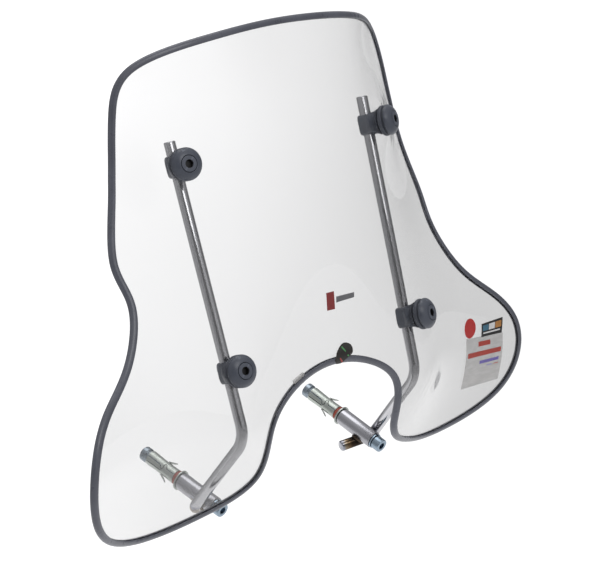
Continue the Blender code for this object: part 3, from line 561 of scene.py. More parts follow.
class Sheet:
    """Thin plate surface through the edge curve and the clamp seats."""

    def __init__(self):
        pts = list(edge_curve(FIT_STEPS))
        for side in (-1, 1):
            for _, z, turn in CLAMPS:
                rod, axis = clamp_axis(side, z, turn)
                pts += seat_disc(rod + axis * STACK, axis)
            pts.append(np.array([side * RELIEF[0], RELIEF[1], RELIEF[2]]))
        pts = np.array(pts)
        self.c = pts[:, [0, 2]] / FIT_UNIT
        d2 = ((self.c[:, None] - self.c[None]) ** 2).sum(-1)
        n = len(pts)
        a = np.zeros((n + 3, n + 3))
        soft = np.full(n, FIT_EASE)
        soft[FIT_STEPS:] = 0.0
        a[:n, :n] = kernel(d2) + np.diag(soft)
        a[:n, n] = 1
        a[:n, n + 1:] = self.c
        a[n:, :n] = a[:n, n:].T
        self.w = np.linalg.solve(a, np.concatenate([pts[:, 1], np.zeros(3)]))

    def y(self, x, z):
        q = np.stack([np.asarray(x, float), np.asarray(z, float)], -1) / FIT_UNIT
        q = q.reshape(-1, 2)
        d2 = ((q[:, None] - self.c[None]) ** 2).sum(-1)
        n = len(self.c)
        return kernel(d2) @ self.w[:n] + self.w[n] + q @ self.w[n + 1:]

    def point(self, x, z):
        x, z = np.asarray(x, float).ravel(), np.asarray(z, float).ravel()
        return np.stack([x, self.y(x, z), z], -1)

    def normal(self, x, z):
        e = 0.5
        x, z = np.asarray(x, float).ravel(), np.asarray(z, float).ravel()
        gx = (self.y(x + e, z) - self.y(x - e, z)) / (2 * e)
        gz = (self.y(x, z + e) - self.y(x, z - e)) / (2 * e)
        n = np.stack([gx, -np.ones(len(x)), gz], -1)
        return n / np.linalg.norm(n, axis=1, keepdims=True)

    def slide_to(self, p, axis, off):
        """Move points along an axis until they are off mm in front of the sheet's middle."""
        p = np.array(p, float)
        for _ in range(8):
            s = self.point(p[:, 0], p[:, 2])
            n = self.normal(p[:, 0], p[:, 2])
            d = ((p - s) * n).sum(1) - off
            p = p - axis[None] * (d / (n @ axis))[:, None]
        return p


SHEET = Sheet()


def edge_frames(steps):
    """Edge points on the sheet, with their outward and front directions."""
    c = edge_curve(steps)
    c[:, 1] = SHEET.y(c[:, 0], c[:, 2])
    t = np.roll(c, -1, 0) - np.roll(c, 1, 0)
    t /= np.linalg.norm(t, axis=1, keepdims=True)
    n = SHEET.normal(c[:, 0], c[:, 2])
    out = np.cross(n, t)
    out /= np.linalg.norm(out, axis=1, keepdims=True)
    if ((c - c.mean(0)) * out).sum() < 0:
        out = -out
    n2 = np.cross(t, out)
    return c, out, n2 * np.sign((n2 * n).sum(1))[:, None]


def inside(poly, p):
    """Which points lie inside a polygon."""
    x, z = p[:, 0], p[:, 1]
    hit = np.zeros(len(p), bool)
    for (x0, z0), (x1, z1) in zip(poly, np.roll(poly, -1, 0)):
        cond = (z0 > z) != (z1 > z)
        xi = (x1 - x0) * (z - z0) / (z1 - z0 + 1e-12) + x0
        hit ^= cond & (x < xi)
    return hit


def world_list(pts):
    return [to_world(q) for q in pts]


def build_screen(rim_steps=300, grid_mm=10.0):
    c, out, _ = edge_frames(rim_steps)
    rim = c + out * EDGE_IN
    ring = c - out * LIP_RUN
    ring[:, 1] = SHEET.y(ring[:, 0], ring[:, 2])
    loops = []
    for side in (-1, 1):
        for _, z, turn in CLAMPS:
            rod, axis = clamp_axis(side, z, turn)
            ex, ey = across(axis)
            for r, n in ((HOLE_R, 40), (9.5, 40), (16.0, 36)):
                a = (np.arange(n) + (0.5 if r > 9 else 0.0)) * 2 * math.pi / n
                q = rod + axis * STACK + r * (np.cos(a)[:, None] * ex + np.sin(a)[:, None] * ey)
                loops.append((q, axis, r))
    pts2 = [ring[:, [0, 2]]]
    kinds = [None] * len(ring)
    edges = [(i, (i + 1) % len(ring)) for i in range(len(ring))]
    for h, (q, axis, r) in enumerate(loops):
        mid = SHEET.slide_to(q, axis, 0.0)
        base = len(kinds)
        pts2.append(mid[:, [0, 2]])
        kinds += [(h, k) if r < 9 else None for k in range(len(q))]
        edges += [(base + i, base + (i + 1) % len(q)) for i in range(len(q))]
    gx, gz = np.arange(-288, 289, grid_mm), np.arange(-256, 156, grid_mm * 0.866)
    grid = np.array([(x + (grid_mm / 2 if k % 2 else 0), z) for k, z in enumerate(gz) for x in gx])
    keep = inside(ring[:, [0, 2]], grid)
    keep &= ((grid[:, None] - ring[None][:, :, [0, 2]]) ** 2).sum(-1).min(1) > 6.0 ** 2
    for q, axis, r in loops:
        if r > 10:
            keep &= ((grid - q.mean(0)[[0, 2]]) ** 2).sum(1) > 20.0 ** 2
    pts2.append(grid[keep])
    kinds += [None] * int(keep.sum())
    all2 = np.vstack(pts2)
    res = delaunay_2d_cdt([Vector(p) for p in all2], edges, [], 0, 1e-6)
    index = [o[0] for o in res[3]]
    xz = all2[index]
    tri = np.array([list(t) for t in res[2]])
    mid = xz[tri].mean(1)
    ok = inside(ring[:, [0, 2]], mid)
    for q, axis, r in loops:
        if r < 9:
            ok &= ~inside(SHEET.slide_to(q, axis, 0.0)[:, [0, 2]], mid)
    tri = tri[ok]
    n = SHEET.normal(xz[:, 0], xz[:, 1])
    s = SHEET.point(xz[:, 0], xz[:, 1])
    front, back = s + n * SHEET_T / 2, s - n * SHEET_T / 2
    rows = {}
    for row, i in enumerate(index):
        if kinds[i] is not None:
            h, k = kinds[i]
            q, axis, _ = loops[h]
            front[row] = SHEET.slide_to(q[k:k + 1], axis, SHEET_T / 2)[0]
            back[row] = SHEET.slide_to(q[k:k + 1], axis, -SHEET_T / 2)[0]
            rows.setdefault(h, {})[k] = row
    m = len(xz)
    faces = [tuple(t) for t in tri] + [(t[0] + m, t[2] + m, t[1] + m) for t in tri]
    verts = list(front) + list(back)
    nr = SHEET.normal(rim[:, 0], rim[:, 2])
    f0 = len(verts)
    verts += list(rim + nr * SHEET_T / 2)
    b0 = len(verts)
    verts += list(rim - nr * SHEET_T / 2)
    row_of = {i: row for row, i in enumerate(index)}
    for k in range(rim_steps):
        k2 = (k + 1) % rim_steps
        a, b = row_of[k], row_of[k2]
        faces.append((a, b, f0 + k2, f0 + k))
        faces.append((a + m, b0 + k, b0 + k2, b + m))
        faces.append((f0 + k, f0 + k2, b0 + k2, b0 + k))
    for h in rows.values():
        ks = sorted(h)
        for i, k in enumerate(ks):
            a, b = h[k], h[ks[(i + 1) % len(ks)]]
            faces.append((a, b, b + m, a + m))
    used = sorted({i for f in faces for i in f})
    remap = {i: k for k, i in enumerate(used)}
    w = world_list(verts)
    piece("screen_sheet", [w[i] for i in used], [tuple(remap[i] for i in f) for f in faces],
          M["acrylic"], "screen", ("screen",), "pmma")


def trim_section():
    """Rounded U extrusion with short soft lips that grip the sheet."""
    outer = []
    for a in range(-100, 101, 20):
        t = math.radians(a)
        outer.append((TRIM_A * math.cos(t), TRIM_B * math.sin(t)))
    top = [(-TRIM_LIP + 0.25, TRIM_B * 0.93), (-TRIM_LIP, TRIM_B * 0.80), (-TRIM_LIP + 0.05, 1.85),
           (-TRIM_LIP + 0.3, 1.66), (1.0, 1.62), (1.15, 1.4)]
    return outer + top + [(a, -b) for a, b in reversed(top)]


def build_trim(steps=420):
    c, out, n = edge_frames(steps)
    sec = trim_section()
    verts = [c[k] + out[k] * a + n[k] * b for k in range(steps) for a, b in sec]
    piece("edge_trim_fine", world_list(verts), bands(steps, len(sec), True), M["trim"], "screen",
          ("edge_trim",), "trim", sharp=50.0)


# ---- rods and welds ----
def fillet_path(points, radii, steps):
    pts = [np.array(p, float) for p in points]
    out = [pts[0]]
    for i in range(1, len(pts) - 1):
        a, b = unit(pts[i - 1] - pts[i]), unit(pts[i + 1] - pts[i])
        ang = math.acos(float(np.clip(a @ b, -1, 1)))
        r = radii[i - 1]
        cut = r / math.tan(ang / 2)
        centre = pts[i] + unit(a + b) * (r / math.sin(ang / 2))
        u, w = unit(pts[i] + a * cut - centre), unit(pts[i] + b * cut - centre)
        total = math.acos(float(np.clip(u @ w, -1, 1)))
        for k in range(steps + 1):
            t = k / steps
            v = (math.sin((1 - t) * total) * u + math.sin(t * total) * w) / math.sin(total)
            out.append(centre + v * r)
    out.append(pts[-1])
    return out


def sweep(path, radius, sides, ends=0.9):
    p = [np.array(q, float) for q in path]
    d0, d1 = unit(p[1] - p[0]), unit(p[-1] - p[-2])
    steps = ((0.0, -ends), (0.35 * ends, -0.35 * ends), (ends, 0.0))
    p = [p[0] + d0 * s for s, _ in steps] + p[1:-1] + [p[-1] - d1 * s for s, _ in reversed(steps)]
    extra = [g for _, g in steps] + [0.0] * (len(p) - 6) + [g for _, g in reversed(steps)]
    up = np.array([0.0, 1.0, 0.0])
    verts = []
    for i in range(len(p)):
        t = d0 if i < 3 else d1 if i >= len(p) - 3 else unit(p[i + 1] - p[i - 1])
        u = up = unit(up - t * (up @ t))
        w = np.cross(t, u)
        verts += circle(p[i], radius + extra[i], u, w, sides)
    return verts, capped(len(p), sides)


def mount_axis(side):
    pitch = math.radians(MOUNT_PITCH + PITCH_TRIM[side])
    toe = math.radians(TOE)
    d = np.array([side * math.sin(toe), math.cos(toe) * math.cos(pitch), math.cos(toe) * math.sin(pitch)])
    drop = np.array([0.0, math.sin(pitch), -math.cos(pitch)])
    slip = ROD_SLIP[side]
    return np.array([side * (AXIS_H[0] + SPLAY * slip), AXIS_H[1], AXIS_H[2] + slip]), d, drop


def stub_axis(side):
    head, d, drop = mount_axis(side)
    out = np.array([float(side), 0.0, 0.0])
    out = unit(out - d * (out @ d))
    r, t = math.radians(STUB_ROLL), math.radians(STUB_TILT)
    away = drop * math.cos(r) + out * math.sin(r)
    inward = drop * math.sin(r) - out * math.cos(r)
    return head + d * STUB_AT + away * STUB_DROP, inward * math.cos(t) + d * math.sin(t), away


def rod_points(side):
    slip = ROD_SLIP[side]
    cross, u, _ = stub_axis(side)
    heel = cross + u * (side * HEEL_X - cross[0]) / u[0]
    top = (side * (ROD_X0 + SPLAY * (ROD_TOP + slip)), ROD_BACK, ROD_TOP + slip)
    low = (side * (ROD_X0 + SPLAY * (BEND1_Z + slip)), ROD_BACK, BEND1_Z + slip)
    return [top, low, heel, heel + u * STUB_LEN]


def weld_line(side, steps):
    """Where the rod and the spacer sleeve come together, found by halving in each direction."""
    cross, u, away = stub_axis(side)
    d = mount_axis(side)[1]
    mid = cross - away * STUB_DROP
    e2 = np.cross(away, d)
    out = []
    for a in turns(steps):
        e = d * math.cos(a) + e2 * math.sin(a)
        lo, hi = 0.0, 9.0
        for _ in range(30):
            r = (lo + hi) / 2
            b = r * abs(e @ e2)
            c = r * np.linalg.norm(np.cross(e, u))
            top = math.sqrt(max(SLEEVE_R ** 2 - b * b, 0.0))
            low = STUB_DROP - math.sqrt(max(ROD_R ** 2 - c * c, 0.0))
            if top > low:
                lo = r
            else:
                hi = r
        out.append(mid + e * lo + away * (top + low) / 2)
    return out


def build_rod(side, tag):
    steel = metal("polished_rod_" + tag, (0.56, 0.56, 0.58), (0.10, 0.16), (1, 1, 0.12), 700.0, 0.000003,
                  0.05)
    cross, u, away = stub_axis(side)
    spot = to_world(cross - away * 3.0)
    heat_tinted(steel, (spot, to_world(cross - away * 1.0 + u * 6.0)), 0.007, 0.024)
    path = fillet_path(rod_points(side), (BEND1_R, BEND2_R), 26)
    v, f = sweep(path, ROD_R, 48)
    piece("rod_bar_" + tag, world_list(v), f, steel.m, "bars", ("rod_" + tag,), "steel")


def build_weld(side, tag):
    """Rippled bead that runs round the crossing."""
    n, m = 96, 14
    line = weld_line(side, n)
    mid = sum(line) / n
    verts = []
    for k, p in enumerate(line):
        t = unit(line[(k + 1) % n] - line[k - 1])
        a = p - mid
        a = unit(a - t * (a @ t))
        b = np.cross(t, a)
        r = 2.25 * (1.0 + 0.10 * abs(math.sin(k * 0.98)) + 0.05 * math.sin(k * 0.41 + 1.0))
        verts += circle(p, r, a, b, m)
    s = metal("weld_scale_" + tag, (0.10, 0.075, 0.055), (0.35, 0.62), (1, 1, 1), 500.0, 0.0001, 0.5)
    piece("weld_bead_" + tag, world_list(verts), bands(n, m, True), s.m, "bars", ("weld_" + tag,),
          "tint", sharp=60.0)


# ---- clamps ----
def conform(ob, mat, axis, off, near):
    """Let the end of a pad that near() picks out follow the sheet instead of a flat plane."""
    inv = mat.inverted()
    for v in ob.data.vertices:
        w = near(v.co.z / MM)
        if w <= 0.0:
            continue
        p = mat @ v.co / MM
        y, z = p.y - MOVE_Y, p.z - MOVE_Z
        local = [p.x, y * LEAN_COS - z * LEAN_SIN, y * LEAN_SIN + z * LEAN_COS]
        q = SHEET.slide_to([local], axis, off)[0]
        target = inv @ to_world(q)
        v.co.z += (target.z - math.copysign(PAD_FACE, off) * MM) * w


def superellipse(hx, hy, power, n):
    out = []
    for a in turns(n):
        ca, sa = math.cos(a), math.sin(a)
        out.append((hx * math.copysign(abs(ca) ** (2 / power), ca),
                    hy * math.copysign(abs(sa) ** (2 / power), sa)))
    return out


def loft(sections, n):
    verts = [(x * MM, y * MM, s * MM) for s, hx, hy, power in sections
             for x, y in superellipse(hx, hy, power, n)]
    return verts, capped(len(sections), n)


def build_clamp(side, row, z, turn):
    tag = ("l" if side < 0 else "r") + row
    body = "clamp_" + tag
    rod, axis = clamp_axis(side, z, turn)
    seat = rod + axis * STACK
    along = np.array([side * SPLAY, 0.0, 1.0])
    mat = frame_world(seat, axis, along)
    front = [(4.5, 1.8), (13.3, 1.8), (14.0, 2.6), (14.15, 4.2), (13.9, 5.4), (13.0, 6.0),
             (12.3, 6.15), (12.1, 7.2), (4.5, 7.2)]
    ob = turned("flange_" + tag, front, M["rubber"], body, mat, ("front_washer_" + tag,), "rubber", 0.3)
    conform(ob, mat, axis, SHEET_T / 2 + GAP, lambda s: max(0.0, min(1.0, (3.0 - s) / 1.0)))
    rear = [(4.5, -3.9), (10.8, -3.9), (11.8, -3.3), (12.0, -1.8), (4.5, -1.8)]
    ob = turned("rear_pad_" + tag, rear, M["rubber"], body, mat, ("rear_washer_" + tag,), "rubber", 0.25)
    conform(ob, mat, axis, -SHEET_T / 2 - GAP, lambda s: max(0.0, min(1.0, (s + 3.0) / 1.0)))
    turned("hole_bush_" + tag, ring_loop(4.5, 5.6, -1.0, 1.0), M["rubber"], body, mat,
           ("bush_" + tag,), "rubber", 0.1, 48)
    turned("plate_" + tag, ring_loop(4.5, 11.0, -5.1, -4.1), M["plastic"], body, mat,
           ("plate_washer_" + tag,), "zinc", 0.2)
    dome = [(4.4, 7.5), (13.2, 7.5), (13.95, 7.8), (14.15, 8.5), (14.1, 9.2), (13.75, 10.0), (13.1, 11.0),
            (12.2, 12.0), (11.1, 12.95), (9.9, 13.7), (8.8, 14.2), (7.95, 14.5), (7.6, 14.55), (7.35, 14.3),
            (7.3, 13.4), (7.3, 10.6), (4.4, 10.6)]
    turned("dome_" + tag, dome, M["plastic"], body, mat, ("dome_cap_" + tag,), "plastic", 0.16, 96)
    screw = [(0.0, 14.85), (6.4, 14.85), (6.8, 14.7), (6.95, 14.35), (6.95, 10.9), (4.0, 10.9),
             (4.0, -9.1), (3.5, -9.7), (0.0, -9.7)]
    socket = prism(hexagon(6.4), 10.6, 16.0)
    mouth = lathe([(0.0, 14.3), (3.55, 14.3), (4.15, 16.0), (0.0, 16.0)], 48)
    ob = carved("cap_screw_head_" + tag, lathe(screw, 72), M["plastic"], "screw_" + tag, "cap_screw_" + tag,
                "black_steel", mat, (socket, mat), (mouth, mat))
    ob.data.materials.append(M["black"])
    for p in ob.data.polygons:
        c = p.center / MM
        if math.hypot(c.x, c.y) < 3.75 and 10.5 < c.z < 14.32:
            p.material_index = 1
    carved("clamp_nut_" + tag, prism(hexagon(13.0), -8.9, -5.8), M["zinc"], body, "nut_" + tag, "zinc",
           mat, (rod_cut(4.25, -12.0, 0.0, 40), mat))
    shape = ((-21.4, 4.4, 7.4, 3.4), (-21.25, 5.4, 8.4, 3.8), (-20.7, 6.2, 9.1, 4.4), (-19.6, 6.65, 9.5, 5.0),
             (-17.0, 6.8, 9.6, 5.0), (-13.5, 6.9, 9.7, 4.6), (-12.2, 7.3, 9.75, 3.8), (-11.0, 8.2, 9.8, 3.0),
             (-9.8, 9.4, 10.0, 2.3), (-8.6, 10.0, 10.2, 2.0), (-6.4, 10.3, 10.3, 2.0),
             (-5.7, 10.1, 10.1, 2.0), (-5.4, 9.6, 9.6, 2.0))
    carved("clamp_body_" + tag, loft(shape, 72), M["plastic"], body, "clamp_block_" + tag, "plastic", mat,
           (prism(hexagon(13.6), -9.2, 0.0), mat), (rod_cut(4.3, -13.0, 0.0, 40), mat),
           (rod_cut(ROD_R + GAP, -40.0, 40.0, 72), frame_world(rod, along, axis)))


# ---- expander mounts ----
def seam_shape(s0, s1):
    line = [(0.0, s0), (0.0, s0 + 9.0), (-0.9, s0 + 10.2), (-2.3, s0 + 10.9), (-3.0, s0 + 12.2),
            (-2.2, s0 + 13.5), (-0.6, s0 + 13.6), (0.9, s0 + 12.9), (2.2, s0 + 13.4), (2.9, s0 + 14.8),
            (2.1, s0 + 16.2), (0.6, s0 + 16.8), (0.0, s0 + 18.0), (0.0, s1)]
    w = 0.33
    left, right = [], []
    for i, (a, s) in enumerate(line):
        p, q = line[max(i - 1, 0)], line[min(i + 1, len(line) - 1)]
        dx, ds = q[0] - p[0], q[1] - p[1]
        n = math.hypot(dx, ds)
        left.append((a - ds / n * w, s + dx / n * w))
        right.append((a + ds / n * w, s - dx / n * w))
    loop = left + right[::-1]
    m, half = len(loop), len(left)
    verts = [(x * MM, 4.2 * MM, s * MM) for x, s in loop] + [(x * MM, 9.0 * MM, s * MM) for x, s in loop]
    faces = [(k, (k + 1) % m, (k + 1) % m + m, k + m) for k in range(m)]
    for base in (0, m):
        faces += [(base + i, base + i + 1, base + m - 2 - i, base + m - 1 - i) for i in range(half - 1)]
    return verts, faces


def fin(name, angle, s0, mat, matrix):
    """Pressed-out holding barb that leans back towards the collar."""
    rows = ((0.0, 6.45, 2.2), (2.0, 6.9, 2.1), (5.0, 8.2, 1.7), (7.2, 9.3, 1.0), (7.7, 9.45, 0.5))
    thick = 0.55
    verts = [(x * MM, (r + dr) * MM, (s0 - ds) * MM) for ds, r, w in rows
             for x, dr in ((-w, 0.0), (w, 0.0), (w, thick), (-w, thick))]
    piece(name, verts, capped(len(rows), 4), mat, "bars", (), "zinc", spun(matrix, angle))


def spring_washer(name, mat, matrix, tag):
    """One split turn of square wire with a small rise."""
    verts = []
    n = 72
    sec = ((4.4, -0.85), (4.5, -0.95), (7.05, -0.95), (7.2, -0.8),
           (7.2, 0.8), (7.05, 0.95), (4.5, 0.95), (4.4, 0.85))
    for k in range(n + 1):
        t = k / n
        a = math.radians(98 + 348 * t)
        rise = (t - 0.5) * 0.5
        for r, s in sec:
            verts.append((r * MM * math.cos(a), r * MM * math.sin(a), (9.3 + s * 0.82 + rise * 0.6) * MM))
    piece(name, verts, capped(n + 1, len(sec)), mat, "bars", ("lock_washer_" + tag,), "bolt", matrix)


def build_mount(side, tag):
    head, d, _ = mount_axis(side)
    mat = frame_world(head, d, (0, 0, 1))
    bolt = [(0.0, 0.0), (5.6, 0.0), (6.2, 0.25), (6.5, 0.9), (6.5, 7.4), (6.3, 8.0), (4.0, 8.0),
            (4.0, 99.0), (3.4, 99.7), (0.0, 99.7)]
    socket = prism(hexagon(6.1), -1.0, 4.4)
    mouth = lathe([(0.0, -1.0), (4.5, -1.0), (3.35, 0.35), (0.0, 0.35)], 48)
    carved("bolt_body_" + tag, lathe(bolt, 72), M["bolt"], "bolt_" + tag, "expander_bolt_" + tag, "bolt", mat,
           (socket, mat), (mouth, mat))
    spring_washer("split_washer_" + tag, M["bolt"], mat, tag)
    sleeve = metal("sleeve_steel_" + tag, (0.36, 0.36, 0.385), (0.20, 0.28), (1, 1, 0.1), 700.0, 0.000004,
                   0.07)
    cross, _, away = stub_axis(side)
    local = mat.inverted() @ to_world(cross - away * 3.0)
    heat_tinted(sleeve, (local,), 0.0075, 0.015)
    turned("sleeve_tube_" + tag, ring_loop(4.4, SLEEVE_R, 10.6, 52.7), sleeve.m, "bars", mat,
           ("spacer_sleeve_" + tag,), "steel", 0.55, 96)
    turned("collar_plate_" + tag, ring_loop(4.4, 9.2, 53.0, 54.6), M["zinc"], "bars", mat,
           ("end_washer_" + tag,), "zinc", 0.3, 96)
    turned("fibre_seal_" + tag, ring_loop(4.4, 6.8, 54.75, 58.7), M["fibre"], "bars", mat,
           ("fibre_ring_" + tag,), "fibre", 0.35, 72)
    tube = [(5.2, 59.1), (6.45, 59.1), (6.7, 59.5), (6.6, 63.0), (6.35, 68.0), (6.35, 76.0), (6.6, 84.0),
            (6.85, 91.0), (6.85, 92.6), (6.6, 93.0), (6.1, 93.0), (5.75, 88.0), (5.3, 80.0), (5.2, 70.0)]
    seam = spun(mat, SEAM_TURN)
    cuts = [(slit(0.9, 74.5, 94.5), spun(mat, turn)) for turn in (90, 180, 270)]
    cuts += [(seam_shape(59.6, 78.5), seam), (slit(1.0, 78.55, 94.05), seam)]
    carved("anchor_shell_" + tag, lathe(softened(tube, 0.2, 2), 96), M["zinc"], "bars",
           "expansion_sleeve_" + tag, "zinc", mat, *cuts)
    fin("barb_a_" + tag, SEAM_TURN + 95, 74.5, M["zinc"], mat)
    fin("barb_b_" + tag, SEAM_TURN - 95, 74.5, M["zinc"], mat)
    cone = [(4.25, 84.8), (4.7, 84.8), (5.5, 93.4), (5.75, 94.9), (6.55, 95.4), (6.8, 96.0), (6.8, 100.5),
            (6.4, 101.0), (4.25, 101.0)]
    turned("cone_plug_" + tag, cone, M["cone"], "cone_" + tag, mat, ("cone_nut_" + tag,), "zinc", 0.3, 96)


# ---- labels ----
def patch(name, outline, lift, thick, mat, rings, swaps=(), slot="film"):
    """Thin film that follows the front of the sheet, a lift above it."""
    o = np.array(outline, float)
    mid = o.mean(0)
    flat = np.vstack([mid + (o - mid) * (k / rings) for k in range(rings, 0, -1)] + [mid[None]])
    s = SHEET.point(flat[:, 0], flat[:, 1])
    n = SHEET.normal(flat[:, 0], flat[:, 1])
    low = s + n * (SHEET_T / 2 + lift)
    m, c = len(flat), len(o)
    faces = []
    for j in range(rings - 1):
        for i in range(c):
            i2 = (i + 1) % c
            faces.append((j * c + i, j * c + i2, (j + 1) * c + i2, (j + 1) * c + i))
    faces += [((rings - 1) * c + i, (rings - 1) * c + (i + 1) % c, m - 1) for i in range(c)]
    faces += [tuple(m + i for i in reversed(f)) for f in faces]
    faces += [(i, (i + 1) % c, m + (i + 1) % c, m + i) for i in range(c)]
    piece(name, world_list(list(low + n * thick) + list(low)), faces, mat, "screen", swaps, slot)


def part_of(corners, steps, u0=0.0, u1=1.0, v0=0.0, v1=1.0):
    """Outline of a sub-rectangle of a four-cornered patch."""
    c = [np.array(p, float) for p in corners]
    out = []
    ring = ((u0, v0), (u1, v0), (u1, v1), (u0, v1))
    for i in range(4):
        (ua, va), (ub, vb) = ring[i], ring[(i + 1) % 4]
        for k in range(steps):
            t = k / steps
            u, v = ua + (ub - ua) * t, va + (vb - va) * t
            out.append((1 - v) * ((1 - u) * c[0] + u * c[1]) + v * ((1 - u) * c[3] + u * c[2]))
    return out


def ink(name, col, rough=0.45):
    s = Nodes(name, col, rough)
    s.link(s.ramp(s.noise(500.0, 3.0), ((0.35, tuple(c * 0.85 for c in col)), (0.65, col))),
           s.b.inputs["Base Color"])
    s.roughness(300.0, rough - 0.08, rough + 0.1)
    s.bump(s.noise(1500.0, 2.0), 0.00001)
    return s.m


def film():
    s = Nodes("label_film", (0.48, 0.47, 0.465), 0.35)
    s.link(s.ramp(s.noise(90.0, 4.0, (1, 1, 3)), ((0.35, (0.44, 0.43, 0.42)), (0.65, (0.52, 0.51, 0.50)))),
           s.b.inputs["Base Color"])
    s.roughness(200.0, 0.28, 0.45)
    s.bump(s.noise(800.0, 2.0), 0.00002)
    s.b.inputs["Alpha"].default_value = 0.5
    return s.m


def build_labels():
    patch("label_sheet", part_of(LABEL, 8), 0.12, 0.10, film(), 5, ("film_label",), "film")
    red = ink("ink_red", (0.42, 0.045, 0.030))
    violet = ink("ink_violet", (0.16, 0.13, 0.42))
    bars = (("a", red, 0.36, 0.68, 0.10, 0.20), ("b", red, 0.06, 0.96, 0.30, 0.40),
            ("c", violet, 0.42, 0.92, 0.50, 0.565), ("d", violet, 0.62, 0.76, 0.62, 0.635),
            ("e", red, 0.80, 0.92, 0.62, 0.635))
    for key, mat, u0, u1, v0, v1 in bars:
        patch("label_bar_" + key, part_of(LABEL, 4, u0, u1, v0, v1), 0.24, 0.03, mat, 2)
    black = ink("ink_black", (0.012, 0.011, 0.012))
    white = ink("ink_white", (0.72, 0.72, 0.72))
    slate = ink("ink_slate", (0.05, 0.16, 0.24))
    ochre = ink("ink_ochre", (0.45, 0.20, 0.05))
    patch("panel_sticker", part_of(FLAG, 6), 0.30, 0.12, black, 3, ("flag_sticker",), "tag")
    fields = (("a", slate, 0.06, 0.34, 0.16, 0.58), ("b", white, 0.36, 0.64, 0.16, 0.58),
              ("c", ochre, 0.66, 0.94, 0.16, 0.58), ("d", white, 0.08, 0.90, 0.70, 0.80))
    for key, mat, u0, u1, v0, v1 in fields:
        patch("panel_field_" + key, part_of(FLAG, 3, u0, u1, v0, v1), 0.43, 0.03, mat, 2, (), "tag")
    crimson = ink("ink_crimson", (0.50, 0.020, 0.018))
    tab = ((-57.4, -154.4), (-42.6, -149.9), (-40.4, -152.9), (-55.0, -157.6))
    patch("edge_tab", part_of(tab, 6), 0.15, 0.9, film(), 3)
    patch("mark_block", part_of(MARK_BLOCK, 4), 0.12, 0.03, ink("ink_mark_red", (0.26, 0.030, 0.030)), 2)
    grey = ink("ink_mark_grey", (0.16, 0.16, 0.17))
    patch("mark_bar", part_of(MARK_BAR, 4, 0.0, 1.0, 0.22, 0.72), 0.12, 0.03, grey, 2)
    dot = circle(np.array(ROUND_AT), ROUND_R, np.array([1.0, 0.0]), np.array([0.0, 1.0]), 48)
    patch("dot_sticker", dot, 0.30, 0.12, crimson, 4, ("round_sticker",), "red")


def build_tag():
    """Dark paddle-shaped tag folded over the edge of the arch, with three printed dashes."""
    dark = ink("tag_black", (0.022, 0.019, 0.016), 0.5)
    c, out, n = edge_frames(TAG_STEPS)
    i = int(round(TAG_PLACE * TAG_STEPS))
    root, o, nn = c[i], out[i], n[i]
    stem = -o * math.cos(TAG_LEAN) + np.cross(nn, o) * math.sin(TAG_LEAN)
    cross = np.cross(nn, stem)

    def spot(s, x, extra=0.0):
        p = root + stem * s - cross * x
        a = (p - root) @ o
        if a > 4.3:
            p = p - o * (a - 4.3)
            a = 4.3
        flat = SHEET_T / 2 + 0.35
        over = 0.4 + TRIM_B * math.sqrt(max(0.0, 1.0 - (max(a, 0.0) / (TRIM_A + 0.7)) ** 2))
        k = max(0.0, min(1.0, (a + 7.0) / 4.5))
        k = k * k * (3 - 2 * k)
        q = SHEET.point([p[0]], [p[2]])[0]
        return q + SHEET.normal([p[0]], [p[2]])[0] * (flat + (over - flat) * k + extra)

    def sheet_piece(name, grid, thick, mat, swaps=()):
        rows, cols = len(grid), len(grid[0])
        top = [p for row in grid for p in row]
        verts = top + [p - nn * thick for p in top]
        base = rows * cols
        faces = []
        for r in range(rows - 1):
            for j in range(cols - 1):
                a = r * cols + j
                faces.append((a, a + 1, a + cols + 1, a + cols))
                faces.append((base + a, base + a + cols, base + a + cols + 1, base + a + 1))
        ring = list(range(cols)) + [r * cols + cols - 1 for r in range(1, rows)]
        ring += [(rows - 1) * cols + j for j in range(cols - 2, -1, -1)]
        ring += [r * cols for r in range(rows - 2, 0, -1)]
        for a, b in zip(ring, ring[1:] + ring[:1]):
            faces.append((a, b, b + base, a + base))
        piece(name, world_list(verts), faces, mat, "screen", swaps, "tag", sharp=60.0)

    grid = [[spot(s, lo + (hi - lo) * j / 10) for j in range(11)] for s, lo, hi in TAG_ROWS]
    sheet_piece("paddle_tag", grid, 0.25, dark, ("edge_tag",))
    green = ink("ink_green", (0.08, 0.30, 0.10))
    red = ink("ink_dash_red", (0.42, 0.06, 0.05))
    dashes = (("a", green, 7.8, -7.4, 8.9, -0.2), ("b", green, 7.5, 3.0, 8.5, 4.7),
              ("c", red, -0.8, -2.1, -0.6, 3.9))
    half = 0.7
    for key, mat, s0, x0, s1, x1 in dashes:
        run = math.hypot(s1 - s0, x1 - x0)
        ds, dx = (x0 - x1) / run * half, (s1 - s0) / run * half
        rows = []
        for t in (0.0, 0.25, 0.5, 0.75, 1.0):
            s, x = s0 + (s1 - s0) * t, x0 + (x1 - x0) * t
            rows.append([spot(s - ds, x - dx, 0.12), spot(s + ds, x + dx, 0.12)])
        sheet_piece("tag_dash_" + key, rows, 0.08, mat)


